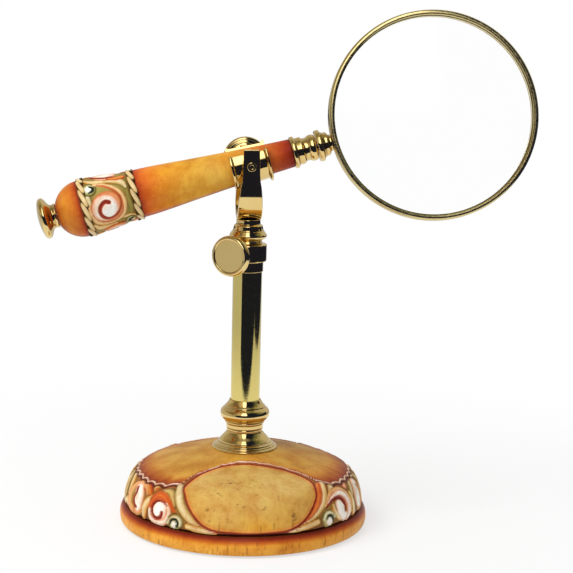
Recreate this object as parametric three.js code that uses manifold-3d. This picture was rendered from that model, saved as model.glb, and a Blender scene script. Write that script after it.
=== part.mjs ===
// A stand magnifier: a round lens on a carved handle, which lies in a sprung clip between the ears of
// a fork. The fork turns and slides on a brass column over a carved base.
// Millimetres, with +Z up. The origin is the centre of the base where it meets the table, the column
// stands on Z, the fork's pivot runs along Y, and the lens hangs out towards +X.

import * as THREE from 'three';
import Module from 'manifold-3d';
import { mergeVertices } from 'three/addons/utils/BufferGeometryUtils.js';

const wasm = await Module();
wasm.setup();

// Sides of the round pieces, and steps along a curve
const wideSides = 56;
const mediumSides = 24;
const slimSides = 16;
const pinSides = 12;
const domeSteps = 10;
const handleSteps = 9;
const handleDomeSteps = 5;
const lensSteps = 3;

// Clearances
const seatGap = 0.1;
const runningGap = 0.15;
const faceGap = 0.1;
const joinGap = 0.3;
const overrun = 1;

// Base
const baseRadius = 63;
const plinthTop = 10;
const grooveWidth = 1.2;
const grooveDepth = 1.8;
const domeInset = 2.8;
const crownHeight = 38.6;
const feltThickness = 1;
const feltInset = 3.5;
const plinthOutlineShares = [
  [0.984, 0], [0.993, 0.1], [0.999, 0.28], [1, 0.48], [0.995, 0.68], [0.983, 0.86], [0.968, 1],
];
const domeOutlineShares = [
  [1, 0], [0.997, 0.102], [0.983, 0.248], [0.958, 0.394], [0.917, 0.529],
  [0.847, 0.639], [0.748, 0.726], [0.598, 0.828], [0.432, 0.923], [0.285, 1],
];

// Fastening of the column to the base
const tieRodRadius = 3;
const tieRodOverhang = 0.8;
const nutPocketRadius = 11;
const nutPocketDepth = 9;
const washerRadius = 8.5;
const washerThickness = 1.4;
const nutAcrossFlats = 10;
const nutHeight = 5;

// Foot of the column
const bellRadius = 16.5;
const bellHeight = 10.4;
const bellOutlineShares = [
  [0.982, 0], [1, 0.04], [0.997, 0.1], [0.965, 0.15], [0.95, 0.2], [0.955, 0.27],
  [0.92, 0.32], [0.9, 0.36], [0.895, 0.41], [0.86, 0.46], [0.82, 0.5], [0.765, 0.58],
  [0.705, 0.67], [0.65, 0.77], [0.615, 0.88], [0.6, 1],
];
const knopWall = 5.1;
const knopHeight = 14.6;
const knopRiseShares = [
  [0.373, 0], [0.373, 0.16], [0.483, 0.18], [0.533, 0.215], [0.483, 0.25], [0.606, 0.27],
  [0.816, 0.34], [0.963, 0.43], [1, 0.51], [0.963, 0.59], [0.853, 0.66], [0.582, 0.75],
  [0.384, 0.82], [0.237, 0.89], [0.139, 0.96], [0.09, 1],
];

// Column tube and the plug in its foot
const tubeRadius = 7.35;
const tubeWall = 1.15;
const tubeLength = 76.6;
const tubeSeatDepth = 6;
const plugLength = 12;

// Collar on the tube's top
const collarWall = 2;
const collarHeight = 8.7;
const collarBevel = 0.4;
const skirtWall = 0.4;
const skirtLength = 5.3;
const tubeInCollar = 4.8;

// Thumbscrew through the collar, aimed this many degrees from -Y towards -X
const thumbscrewAim = 34;
const thumbscrewShankRadius = 2.1;
const thumbscrewRadius = 10.2;
const thumbscrewReach = 10;
const thumbscrewStandOff = 0.8;
const thumbscrewOutlineShares = [
  [0.42, 0], [0.44, 0.04], [0.41, 0.09], [0.36, 0.17], [0.36, 0.3], [0.42, 0.4], [0.58, 0.47], [0.84, 0.51],
  [0.95, 0.56], [1, 0.66], [1, 0.8], [0.975, 0.92], [0.91, 0.995], [0.85, 1], [0.8, 0.94],
];

// Rod in the tube, and the neck on it
const rodToPlugGap = 8.9;
const mastRodInNeck = 6;
const neckBeadWall = 3.15;
const neckHeight = 12.2;
const neckRiseShares = [
  [0.257, 0], [0.317, 0.04], [0.257, 0.085], [0.213, 0.12], [0.406, 0.17], [0.851, 0.25],
  [1, 0.33], [0.971, 0.39], [0.762, 0.43], [0.346, 0.5], [0.111, 0.56], [0.006, 0.62],
  [-0.04, 0.7], [-0.05, 1],
];

// Fork
const clipSideRoom = 1.4;
const forkThickness = 2.4;
const forkFloorMargin = 0.1;
const pivotRise = 27.3;
const earAbovePivot = 8.4;
const earWidth = 8.7;
const forkFootWidth = 11.7;
const earStraightBelowPivot = 5.5;
const earFlareLength = 10.5;
const forkCurveSteps = 5;
const forkScrewRadius = 1.5;
const forkScrewLength = 5;
const forkScrewHeadRadius = 2.9;
const forkScrewHeadHeight = 1.6;

// Pivot through the ears
const pivotPinRadius = 1.7;
const pivotPinInWall = 0.6;
const pivotScrewHeadRadius = 2.25;
const pivotScrewHeadHeight = 0.9;
const pivotScrewDimpleRadius = 1;
const pivotScrewDimpleDepth = 0.5;
const pivotWasherRadius = 3.4;
const pivotWasherThickness = 0.8;
const pivotKnobRadius = 11.5;
const pivotKnobLength = 14.4;
const pivotKnobOutlineShares = [
  [0.34, 0], [0.36, 0.03], [0.34, 0.07], [0.3, 0.14], [0.3, 0.4], [0.36, 0.5], [0.5, 0.57], [0.66, 0.61],
  [0.74, 0.65], [0.76, 0.69], [0.86, 0.715], [0.95, 0.74], [1, 0.8], [1, 0.87], [0.975, 0.94], [0.9, 0.985],
  [0.6, 1],
];

// Handle, with places along it counted from the pivot and positive towards the lens
const handleTilt = 15.56;
const handleRoll = 11.6;
const handleSeatRadius = 6;
const handleDomeLength = 14;
const bandRearRadius = 14;
const bandFrontRadius = 11.9;
const rearRopePlace = -83.35;
const frontRopePlace = -58.6;
const ropeWidth = 3.4;
const ropeRise = 0.35;
const ropeToTaper = 0.5;
const handleFrontPlace = 21.6;
const ropeOutlineShares = [[0, 0], [0.75, 0.15], [1, 0.5], [0.75, 0.85], [0, 1]];
const handleTaperShares = [
  [1.008, 0], [0.987, 0.088], [0.929, 0.215], [0.861, 0.343], [0.803, 0.47],
  [0.756, 0.572], [0.689, 0.725], [0.63, 0.878], [0.592, 1],
];

// Clip that holds the handle, with its mouth's two edges in degrees above the front horizontal
const clipLength = 19.6;
const clipClearance = 0.3;
const clipWall = 1.1;
const clipRimRise = 1.1;
const clipRimWidth = 1.7;
const clipFrontLipAngle = 40;
const clipRearLipAngle = 112;
const clipRimOutlineShares = [[0.75, 0], [1, 0.25], [1, 0.6], [0.7, 0.8], [0, 1]];

// Rod through the handle, and the turned brass at its two ends
const handleRodRadius = 2;
const handleRodInKnob = 4.5;
const handleRodInSocket = 3.7;
const endKnobRadius = 10.25;
const endKnobLength = 9.7;
const endKnobOutlineShares = [
  [0.56, 0], [0.6, 0.06], [0.585, 0.12], [0.555, 0.18], [0.57, 0.27], [0.66, 0.36], [0.8, 0.44], [0.92, 0.51],
  [0.985, 0.57], [1, 0.64], [0.985, 0.73], [0.93, 0.81], [0.78, 0.88], [0.55, 0.94], [0.28, 0.985],
];
const ferruleRadius = 8;
const ferruleLength = 12.4;
const ferruleOutlineShares = [
  [0.96, 0], [1, 0.05], [1, 0.14], [0.94, 0.19], [0.85, 0.21], [0.84, 0.27], [0.85, 0.42], [0.8, 0.46],
  [0.73, 0.5], [0.715, 0.58], [0.72, 0.68], [0.78, 0.74], [0.82, 0.79], [0.82, 0.9], [0.79, 0.96], [0.72, 1],
];
const socketRadius = 7.95;
const socketLength = 6.6;
const socketNeckRadius = 4.2;
const socketOutlineShares = [
  [0.9, 0], [0.98, 0.06], [1, 0.15], [1, 0.32], [0.95, 0.4], [0.81, 0.46], [0.8, 0.54],
  [0.75, 0.6], [0.745, 0.82], [0.7, 0.9], [0.56, 0.97],
];

// Lens and its frame
const socketNeckLength = 1.25;
const lensRadius = 50.4;
const lensEdge = 2.2;
const lensSurfaceRadius = 312;
const lensSideGap = 0.3;
const lensFaceGap = 0.12;
const ringWall = 1.9;
const ringDepth = 8.4;
const ringLip = 1.2;
const ledgeThickness = 1.6;
const ledgeFaceGap = 0.3;
const retainerHeight = 3;
const ringRiseShares = [
  [0.5, 0], [0.9, 0.07], [1, 0.19], [0.95, 0.36], [0.75, 0.44],
  [0.75, 0.56], [0.95, 0.64], [1, 0.81], [0.9, 0.93], [0.5, 1],
];

const brass = new THREE.MeshStandardMaterial({ color: 0xc8a24a, roughness: 0.18, metalness: 1 });
const steel = new THREE.MeshStandardMaterial({ color: 0x9a9a98, roughness: 0.35, metalness: 1 });
const stained = new THREE.MeshStandardMaterial({ color: 0xc98532, roughness: 0.3, metalness: 0 });
const felt = new THREE.MeshStandardMaterial({ color: 0x2c3a2a, roughness: 0.95, metalness: 0 });
const glass = new THREE.MeshStandardMaterial({
  color: 0xf2f6f4, roughness: 0.02, metalness: 0, transparent: true, opacity: 0.3,
});

// Places worked out from the sizes above
const plinthRadius = (share) => share * baseRadius;
const domeRadius = baseRadius - domeInset;
const domeBase = plinthTop + grooveWidth;
const pocketCeiling = feltThickness + nutPocketDepth;
const nutBottom = pocketCeiling - washerThickness - nutHeight;
const tieRodHole = tieRodRadius + seatGap;
const knopBottom = crownHeight + bellHeight;
const knopTop = knopBottom + knopHeight;
const tubeBottom = knopTop - tubeSeatDepth;
const tubeTop = tubeBottom + tubeLength;
const tubeBore = tubeRadius - tubeWall;
const tubeSocket = tubeRadius + seatGap;
const collarRadius = tubeSocket + collarWall;
const skirtBottom = tubeTop - tubeInCollar;
const skirtTop = skirtBottom + skirtLength;
const collarTop = skirtTop + collarHeight;
const rodBore = tubeBore;
const mastRodRadius = rodBore - runningGap;
const neckBottom = collarTop + faceGap;
const forkBottom = neckBottom + neckHeight;
const mastRodTop = neckBottom + mastRodInNeck;
const pivotHeight = forkBottom + pivotRise;
const earInside = clipOuterRadius(0) + clipSideRoom;
const earOutside = earInside + forkThickness;
const forkCornerRadius = earOutside - forkScrewHeadRadius - forkFloorMargin;
const pivotHole = pivotPinRadius + runningGap;
const bossEnd = earInside - pivotWasherThickness - 2 * faceGap;
const handleRodHole = handleRodRadius + runningGap;
const ferrulePlace = handleFrontPlace + joinGap;
const socketPlace = ferrulePlace + ferruleLength + joinGap;
const ringBore = lensRadius + lensSideGap;
const ringRadius = ringBore + ringWall;
const lensPlace = socketPlace + socketLength + socketNeckLength + ringRadius;

// The outline of a turned piece, from a table of [radius share, height share]
function outline(shares, radius, height, low = 0) {
  return shares.map(([r, h]) => [r * radius, low + h * height]);
}

// The same from a table of [rise share, height share], with the rises counted from an inner radius
function rises(shares, inner, wall, height, low) {
  return shares.map(([r, h]) => [inner + r * wall, low + h * height]);
}

// Turns a closed outline of [radius, height] pairs about Z, outside edge upwards
function turn(points, sides) {
  const geometry = new THREE.LatheGeometry(points.map(([r, z]) => new THREE.Vector2(r, z)), sides);
  return geometry.rotateX(Math.PI / 2);
}

// A turned piece with a straight bore, or a solid one when the bore is 0
function turned(points, bore, sides) {
  const low = points[0][1];
  const high = points[points.length - 1][1];
  const closed = [[bore, low], ...points, [bore, high]];
  if (bore > 0) closed.push([bore, low]);
  return turn(closed, sides);
}

// A plain cylinder, or a tube when the bore isn't 0
function tube(radius, bore, low, high, sides) {
  return turned([[radius, low], [radius, high]], bore, sides);
}

// Points of a smooth curve through an outline
function smooth(points, steps) {
  const curve = new THREE.SplineCurve(points.map(([r, z]) => new THREE.Vector2(r, z)));
  return curve.getPoints(steps).map((p) => [p.x, p.y]);
}

// The solid of a closed geometry, for cutting and joining
function solid(geometry) {
  const bare = geometry.clone();
  bare.deleteAttribute('normal');
  bare.deleteAttribute('uv');
  const merged = mergeVertices(bare);
  const kept = [];
  for (let i = 0; i < merged.index.count; i += 3) {
    const [a, b, c] = [0, 1, 2].map((k) => merged.index.getX(i + k));
    if (a !== b && b !== c && c !== a) kept.push(a, b, c);
  }
  const mesh = new wasm.Mesh({
    numProp: 3,
    vertProperties: merged.attributes.position.array,
    triVerts: new Uint32Array(kept),
  });
  return new wasm.Manifold(mesh);
}

// The geometry of a solid
function geometryOf(manifold) {
  const { vertProperties, triVerts } = manifold.getMesh();
  const geometry = new THREE.BufferGeometry();
  geometry.setAttribute('position', new THREE.BufferAttribute(vertProperties, 3));
  geometry.setIndex(new THREE.BufferAttribute(triVerts, 1));
  geometry.computeVertexNormals();
  return geometry;
}

// An outline drawn in the plane of two world axes, extruded along the third and centred there
function slab(shape, right, up, depth, curveSegments) {
  const geometry = new THREE.ExtrudeGeometry(shape, { depth, bevelEnabled: false, curveSegments });
  geometry.translate(0, 0, -depth / 2);
  const out = new THREE.Vector3().crossVectors(right, up);
  return geometry.applyMatrix4(new THREE.Matrix4().makeBasis(right, up, out));
}

const alongX = new THREE.Vector3(1, 0, 0);
const alongY = new THREE.Vector3(0, 1, 0);
const alongZ = new THREE.Vector3(0, 0, 1);

function piece(name, geometry, material) {
  const mesh = new THREE.Mesh(geometry, material);
  mesh.name = name;
  return mesh;
}

// Base: the carved body with its nut pocket, the felt, and the fastening in the pocket

function baseBody() {
  const plinth = plinthOutlineShares.map(([r, h]) => [
    plinthRadius(r), feltThickness + h * (plinthTop - feltThickness),
  ]);
  const grooveRadius = domeRadius - grooveDepth;
  const dome = smooth(outline(domeOutlineShares, domeRadius, crownHeight - domeBase, domeBase), domeSteps);
  const points = [
    [tieRodHole, pocketCeiling],
    [nutPocketRadius, pocketCeiling],
    [nutPocketRadius, feltThickness],
    ...plinth,
    [grooveRadius, plinthTop],
    [grooveRadius, domeBase],
    ...dome,
    [tieRodHole, crownHeight],
    [tieRodHole, pocketCeiling],
  ];
  return piece('base_body', turn(points, wideSides), stained);
}

function baseFelt() {
  const radius = plinthRadius(plinthOutlineShares[0][0]) - feltInset;
  return piece('base_felt', tube(radius, 0, 0, feltThickness, wideSides), felt);
}

function baseWasher() {
  const low = pocketCeiling - washerThickness;
  return piece('base_washer', tube(washerRadius, tieRodHole, low, pocketCeiling, slimSides), steel);
}

function baseNut() {
  const corner = nutAcrossFlats / Math.sqrt(3);
  const shape = new THREE.Shape();
  for (let k = 0; k < 6; k++) {
    const angle = (k * Math.PI) / 3;
    const point = [corner * Math.cos(angle), corner * Math.sin(angle)];
    if (k === 0) shape.moveTo(...point);
    else shape.lineTo(...point);
  }
  shape.closePath();
  const hole = new THREE.Path();
  hole.absarc(0, 0, tieRodHole, 0, 2 * Math.PI, true);
  shape.holes.push(hole);
  const options = { depth: nutHeight, bevelEnabled: false, curveSegments: pinSides / 2 };
  const geometry = new THREE.ExtrudeGeometry(shape, options);
  geometry.translate(0, 0, nutBottom);
  return piece('base_nut', geometry, steel);
}

function tieRod() {
  const top = tubeBottom + plugLength - tieRodOverhang;
  return piece('tie_rod', tube(tieRodRadius, 0, nutBottom - tieRodOverhang, top, pinSides), steel);
}

// Column: bell, knop, tube, plug and collar

function footBell() {
  const points = outline(bellOutlineShares, bellRadius, bellHeight, crownHeight);
  return piece('foot_bell', turned(points, tieRodHole, mediumSides), brass);
}

function footKnop() {
  const points = [
    [tieRodHole, knopBottom],
    ...rises(knopRiseShares, tubeSocket, knopWall, knopHeight, knopBottom),
    [tubeSocket, knopTop],
    [tubeSocket, tubeBottom],
    [tieRodHole, tubeBottom],
    [tieRodHole, knopBottom],
  ];
  return piece('foot_knop', turn(points, mediumSides), brass);
}

function columnTube() {
  return piece('column_tube', tube(tubeRadius, tubeBore, tubeBottom, tubeTop, mediumSides), brass);
}

function tubePlug() {
  const geometry = tube(tubeBore - seatGap, tieRodHole, tubeBottom, tubeBottom + plugLength, slimSides);
  return piece('tube_plug', geometry, brass);
}

function thumbscrewHeight() {
  return skirtTop + collarHeight / 2;
}

function clampCollar() {
  const skirtRadius = tubeSocket + skirtWall;
  const points = [
    [tubeSocket, skirtBottom],
    [skirtRadius, skirtBottom],
    [skirtRadius, skirtTop],
    [collarRadius - collarBevel, skirtTop],
    [collarRadius, skirtTop + collarBevel],
    [collarRadius, collarTop - collarBevel],
    [collarRadius - collarBevel, collarTop],
    [rodBore, collarTop],
    [rodBore, tubeTop],
    [tubeSocket, tubeTop],
    [tubeSocket, skirtBottom],
  ];
  const ring = solid(turn(points, mediumSides));
  const drill = tube(thumbscrewShankRadius + runningGap, 0, 0, collarRadius + overrun, pinSides);
  aim(drill);
  drill.translate(0, 0, thumbscrewHeight());
  return piece('clamp_collar', geometryOf(ring.subtract(solid(drill))), brass);
}

// Lays a piece that was turned about Z along the thumbscrew's direction
function aim(geometry) {
  geometry.rotateX(Math.PI / 2);
  geometry.rotateZ(THREE.MathUtils.degToRad(-thumbscrewAim));
  return geometry;
}

function thumbscrew() {
  const tip = mastRodRadius + faceGap;
  const hub = collarRadius + thumbscrewStandOff;
  const face = collarRadius + thumbscrewReach;
  const points = [
    [thumbscrewShankRadius, tip],
    [thumbscrewShankRadius, hub],
    ...outline(thumbscrewOutlineShares, thumbscrewRadius, face - hub, hub),
  ];
  const mesh = piece('thumbscrew', aim(turned(points, 0, mediumSides)), brass);
  mesh.position.z = thumbscrewHeight();
  return mesh;
}

// Mast: the rod in the tube, the neck and the fork

function mastRod() {
  const low = tubeBottom + plugLength + rodToPlugGap;
  return piece('mast_rod', tube(mastRodRadius, 0, low, mastRodTop, mediumSides), brass);
}

function forkScrewTip() {
  return forkBottom + forkThickness - forkScrewLength;
}

function mastNeck() {
  const screwHole = forkScrewRadius + seatGap;
  const screwRoom = forkScrewTip() - faceGap;
  const rodRoom = mastRodTop + faceGap;
  const points = [
    [0, rodRoom],
    [rodBore, rodRoom],
    [rodBore, neckBottom],
    ...rises(neckRiseShares, rodBore, neckBeadWall, neckHeight, neckBottom),
    [screwHole, forkBottom],
    [screwHole, screwRoom],
    [0, screwRoom],
  ];
  return piece('mast_neck', turn(points, mediumSides), brass);
}

function forkBody() {
  const corner = forkCornerRadius;
  const inner = corner - forkThickness;
  const top = pivotHeight + earAbovePivot;
  const low = forkBottom + corner;
  const flat = earOutside - corner;
  const strap = new THREE.Shape();
  strap.moveTo(-earOutside, top);
  strap.lineTo(-earOutside, low);
  strap.absarc(-flat, low, corner, Math.PI, 1.5 * Math.PI, false);
  strap.absarc(flat, low, corner, 1.5 * Math.PI, 2 * Math.PI, false);
  strap.lineTo(earOutside, top);
  strap.lineTo(earInside, top);
  strap.lineTo(earInside, low);
  strap.absarc(flat, low, inner, 2 * Math.PI, 1.5 * Math.PI, true);
  strap.absarc(-flat, low, inner, 1.5 * Math.PI, Math.PI, true);
  strap.lineTo(-earInside, top);
  strap.closePath();
  return solid(slab(strap, alongY, alongZ, forkFootWidth + 2 * overrun, forkCurveSteps));
}

function forkFrontOutline() {
  const half = earWidth / 2;
  const foot = forkFootWidth / 2;
  const top = pivotHeight + earAbovePivot + overrun;
  const low = forkBottom - overrun;
  const straight = pivotHeight - earStraightBelowPivot;
  const flared = straight - earFlareLength;
  const bend = (straight + flared) / 2;
  const front = new THREE.Shape();
  front.moveTo(-half, top);
  front.lineTo(-half, straight);
  front.quadraticCurveTo(-half, bend, -foot, flared);
  front.lineTo(-foot, low);
  front.lineTo(foot, low);
  front.lineTo(foot, flared);
  front.quadraticCurveTo(half, bend, half, straight);
  front.lineTo(half, top);
  front.closePath();
  return solid(slab(front, alongX, alongZ, 2 * (earOutside + overrun), forkCurveSteps));
}

function fork() {
  const pinHole = new THREE.CylinderGeometry(pivotHole, pivotHole, 2 * (earOutside + overrun), pinSides);
  pinHole.translate(0, 0, pivotHeight);
  const floor = forkBottom + forkThickness;
  const screwHole = tube(forkScrewRadius + seatGap, 0, forkBottom - overrun, floor + overrun, pinSides);
  const body = forkBody().intersect(forkFrontOutline()).subtract(solid(pinHole)).subtract(solid(screwHole));
  return piece('fork', geometryOf(body), brass);
}

function forkScrew() {
  const seat = forkBottom + forkThickness;
  const points = [
    [forkScrewRadius, forkScrewTip()],
    [forkScrewRadius, seat],
    [forkScrewHeadRadius, seat],
    [forkScrewHeadRadius, seat + forkScrewHeadHeight],
  ];
  return piece('fork_screw', turned(points, 0, pinSides), steel);
}

// Pivot: the front screw, the rear knob and the two washers. Each is turned about Z with its
// heights counted outwards from the handle's axis, and then laid along Y.

function pivotPinTip() {
  return clipOuterRadius(0) - pivotPinInWall;
}

function pivotScrew() {
  const low = earOutside + faceGap;
  const high = low + pivotScrewHeadHeight;
  const points = [
    [pivotPinRadius, pivotPinTip()],
    [pivotPinRadius, low],
    [pivotScrewHeadRadius, low],
    [pivotScrewHeadRadius, high],
    [pivotScrewDimpleRadius, high],
    [pivotScrewDimpleRadius, high - pivotScrewDimpleDepth],
  ];
  const mesh = piece('pivot_screw', turned(points, 0, pinSides), brass);
  mesh.rotation.x = Math.PI / 2;
  return mesh;
}

function pivotKnob() {
  const low = earOutside + faceGap;
  const points = [
    [pivotPinRadius, pivotPinTip()],
    [pivotPinRadius, low],
    ...outline(pivotKnobOutlineShares, pivotKnobRadius, pivotKnobLength, low),
  ];
  const mesh = piece('pivot_knob', turned(points, 0, mediumSides), brass);
  mesh.rotation.x = -Math.PI / 2;
  return mesh;
}

function pivotWasher(name, side) {
  const high = earInside - faceGap;
  const geometry = tube(pivotWasherRadius, pivotHole, high - pivotWasherThickness, high, pinSides);
  const mesh = piece(name, geometry, brass);
  mesh.rotation.x = (-side * Math.PI) / 2;
  return mesh;
}

// Handle, turned about Z with its heights as places along it

function ropeBand(place, radius) {
  return ropeOutlineShares.map(([rise, share]) => [
    radius + rise * ropeRise, place + (share - 1 / 2) * ropeWidth,
  ]);
}

function handleOutline() {
  const domeCentre = rearRopePlace - ropeWidth / 2;
  const seatAngle = Math.asin(handleSeatRadius / bandRearRadius);
  const dome = [];
  for (let k = 0; k < handleDomeSteps; k++) {
    const angle = seatAngle + (k / handleDomeSteps) * (Math.PI / 2 - seatAngle);
    dome.push([bandRearRadius * Math.sin(angle), domeCentre - handleDomeLength * Math.cos(angle)]);
  }
  const taperStart = frontRopePlace + ropeWidth / 2 + ropeToTaper;
  const taper = outline(handleTaperShares, bandFrontRadius, handleFrontPlace - taperStart, taperStart);
  return [
    ...dome,
    ...ropeBand(rearRopePlace, bandRearRadius),
    ...ropeBand(frontRopePlace, bandFrontRadius),
    ...smooth(taper, handleSteps),
  ];
}

// The handle's radius at a place between two points of its outline
function handleRadius(place) {
  const points = handleOutline();
  const next = points.findIndex(([, p]) => p >= place);
  const [r0, p0] = points[next - 1];
  const [r1, p1] = points[next];
  return r0 + ((r1 - r0) * (place - p0)) / (p1 - p0);
}

function handleRearPlace() {
  return handleOutline()[0][1];
}

function handleBody() {
  return piece('handle_body', turned(handleOutline(), handleRodHole, mediumSides), stained);
}

function handleRod() {
  const low = handleRearPlace() - joinGap - handleRodInKnob;
  const high = socketPlace + handleRodInSocket;
  return piece('handle_rod', tube(handleRodRadius, 0, low, high, pinSides), steel);
}

function endKnob() {
  const points = outline(endKnobOutlineShares, endKnobRadius, endKnobLength);
  const room = handleRodInKnob + joinGap;
  const closed = [[0, room], [handleRodHole, room], [handleRodHole, 0], ...points, [0, endKnobLength]];
  const mesh = piece('end_knob', turn(closed, mediumSides), brass);
  mesh.rotation.x = Math.PI;
  mesh.position.z = handleRearPlace() - joinGap;
  return mesh;
}

function handleFerrule() {
  const points = outline(ferruleOutlineShares, ferruleRadius, ferruleLength, ferrulePlace);
  return piece('handle_ferrule', turned(points, handleRodHole, mediumSides), brass);
}

function ringSocket() {
  const room = socketPlace + handleRodInSocket + joinGap;
  const reach = lensPlace - ringRadius + overrun;
  const points = [
    [0, room],
    [handleRodHole, room],
    [handleRodHole, socketPlace],
    ...outline(socketOutlineShares, socketRadius, socketLength, socketPlace),
    [socketNeckRadius, socketPlace + socketLength],
    [socketNeckRadius, reach],
    [0, reach],
  ];
  const around = ringRadius + joinGap;
  const ring = new THREE.CylinderGeometry(around, around, 2 * (ringDepth + overrun), 2 * wideSides);
  ring.translate(0, 0, lensPlace);
  const body = solid(turn(points, mediumSides)).subtract(solid(ring));
  return piece('ring_socket', geometryOf(body), brass);
}

// Clip, drawn about Z like the handle that it fits

function clipInnerRadius(place) {
  const half = clipLength / 2;
  const rear = handleRadius(-half);
  const front = handleRadius(half);
  return clipClearance + rear + ((front - rear) * (place + half)) / clipLength;
}

function clipOuterRadius(place) {
  return clipInnerRadius(place) + clipWall;
}

function clipRimRadius() {
  return clipOuterRadius(0) + clipRimRise;
}

// One flared rim's outline, from the clip's end towards its middle
function clipRim(end) {
  const place = (end * clipLength) / 2;
  const inward = -end * clipRimWidth;
  const wall = clipOuterRadius(place + inward);
  return clipRimOutlineShares.map(([rise, share]) => [
    wall + rise * (clipRimRadius() - wall), place + share * inward,
  ]);
}

function clipMouth() {
  const far = 2 * clipRimRadius();
  const middle = (clipFrontLipAngle + clipRearLipAngle) / 2;
  const shape = new THREE.Shape();
  shape.moveTo(0, 0);
  for (const degrees of [clipFrontLipAngle, middle, clipRearLipAngle]) {
    const angle = THREE.MathUtils.degToRad(degrees);
    shape.lineTo(-far * Math.cos(angle), far * Math.sin(angle));
  }
  shape.closePath();
  return solid(slab(shape, alongY, alongZ, clipLength + 2 * overrun, 1));
}

function cradleClip() {
  const outside = [...clipRim(-1), ...clipRim(1).reverse()];
  const shell = turned(outside, 0, mediumSides).rotateY(Math.PI / 2);
  const boss = new THREE.CylinderGeometry(pivotWasherRadius, pivotWasherRadius, 2 * bossEnd, slimSides);
  const rear = -clipLength / 2 - overrun;
  const front = clipLength / 2 + overrun;
  const cavityOutline = [[clipInnerRadius(rear), rear], [clipInnerRadius(front), front]];
  const cavity = turned(cavityOutline, 0, mediumSides).rotateY(Math.PI / 2);
  const pinHole = new THREE.CylinderGeometry(pivotHole, pivotHole, 2 * (bossEnd + overrun), pinSides);
  const body = solid(shell)
    .add(solid(boss))
    .subtract(solid(cavity))
    .subtract(clipMouth())
    .subtract(solid(pinHole));
  return piece('cradle_clip', geometryOf(body), brass);
}

// Lens frame, turned about Z with its heights counted from the frame's middle plane

const ledgeRadius = ringBore - ringLip;
const ledgeTop = ledgeThickness - ringDepth / 2;
const lensBottom = ledgeTop + ledgeFaceGap;
const lensTop = lensBottom + lensEdge;

function lensSag(radius) {
  const height = (r) => Math.sqrt(lensSurfaceRadius ** 2 - r ** 2);
  return height(radius) - height(lensRadius);
}

function lensRing() {
  const low = -ringDepth / 2;
  const outside = rises(ringRiseShares, ringBore, ringWall, ringDepth, low);
  const points = [
    [ledgeRadius, low],
    ...outside,
    [ringBore, low + ringDepth],
    [ringBore, ledgeTop],
    [ledgeRadius, ledgeTop],
    [ledgeRadius, low],
  ];
  return piece('lens_ring', turn(points, wideSides), brass);
}

function lensRetainingRing() {
  const low = lensTop + lensSag(ledgeRadius) + lensFaceGap;
  const geometry = tube(ringBore - runningGap, ledgeRadius, low, low + retainerHeight, wideSides);
  return piece('lens_retaining_ring', geometry, brass);
}

function lensGlass() {
  const back = [];
  const front = [];
  for (let k = 0; k <= lensSteps; k++) {
    const radius = (k / lensSteps) * lensRadius;
    back.push([radius, lensBottom - lensSag(radius)]);
    front.unshift([radius, lensTop + lensSag(radius)]);
  }
  return piece('lens_glass', turn([...back, ...front], wideSides), glass);
}

// Groups: what lies along the handle is turned from Z to X, and the lens frame from Z to -Y

function grip() {
  const along = new THREE.Group();
  along.rotation.y = Math.PI / 2;
  along.add(handleBody(), handleRod(), endKnob(), handleFerrule(), ringSocket());
  const frame = new THREE.Group();
  frame.position.x = lensPlace;
  frame.rotation.x = Math.PI / 2;
  frame.add(lensRing(), lensRetainingRing(), lensGlass());
  const group = new THREE.Group();
  group.rotation.x = THREE.MathUtils.degToRad(-handleRoll);
  group.add(along, frame);
  return group;
}

function cradle() {
  const group = new THREE.Group();
  group.position.z = pivotHeight;
  group.rotation.y = THREE.MathUtils.degToRad(-handleTilt);
  group.add(cradleClip(), grip());
  return group;
}

function pivot() {
  const group = new THREE.Group();
  group.position.z = pivotHeight;
  group.add(pivotScrew(), pivotKnob());
  group.add(pivotWasher('pivot_washer_front', -1), pivotWasher('pivot_washer_rear', 1));
  return group;
}

const magnifier = new THREE.Group();
magnifier.add(baseBody(), baseFelt(), baseWasher(), baseNut(), tieRod());
magnifier.add(footBell(), footKnop(), columnTube(), tubePlug(), clampCollar(), thumbscrew());
magnifier.add(mastRod(), mastNeck(), fork(), forkScrew());
magnifier.add(pivot(), cradle());

export default magnifier;
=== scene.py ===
"""Stand magnifier: a lens on a carved handle, held by a brass fork and column over a carved base."""

import math

import bmesh
import bpy
import numpy as np
from bpy.props import (
    FloatProperty,
    FloatVectorProperty,
    IntProperty,
    PointerProperty,
)
from mathutils import Matrix, Vector


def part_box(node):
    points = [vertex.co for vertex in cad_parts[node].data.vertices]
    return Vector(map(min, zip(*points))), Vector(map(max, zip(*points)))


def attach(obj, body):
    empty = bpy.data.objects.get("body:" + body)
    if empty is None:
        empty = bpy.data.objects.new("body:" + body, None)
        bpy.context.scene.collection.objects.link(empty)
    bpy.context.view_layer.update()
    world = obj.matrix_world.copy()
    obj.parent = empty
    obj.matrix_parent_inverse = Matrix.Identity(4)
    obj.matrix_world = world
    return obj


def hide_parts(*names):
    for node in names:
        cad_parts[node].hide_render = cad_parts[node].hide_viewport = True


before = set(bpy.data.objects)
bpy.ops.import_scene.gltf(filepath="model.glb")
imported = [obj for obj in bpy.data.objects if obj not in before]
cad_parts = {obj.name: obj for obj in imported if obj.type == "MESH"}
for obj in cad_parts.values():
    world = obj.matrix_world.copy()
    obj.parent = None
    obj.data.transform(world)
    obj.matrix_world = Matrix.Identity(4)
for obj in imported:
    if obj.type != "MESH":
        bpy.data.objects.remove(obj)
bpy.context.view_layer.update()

bl_info = {
    "name": "Stand Magnifier",
    "version": (1, 0, 0),
    "blender": (4, 5, 0),
    "location": "3D View > Sidebar > Magnifier",
    "description": "Builds a stand magnifier with a carved base and handle and turned brass fittings",
    "category": "Add Mesh",
}

MM = 0.001


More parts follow.
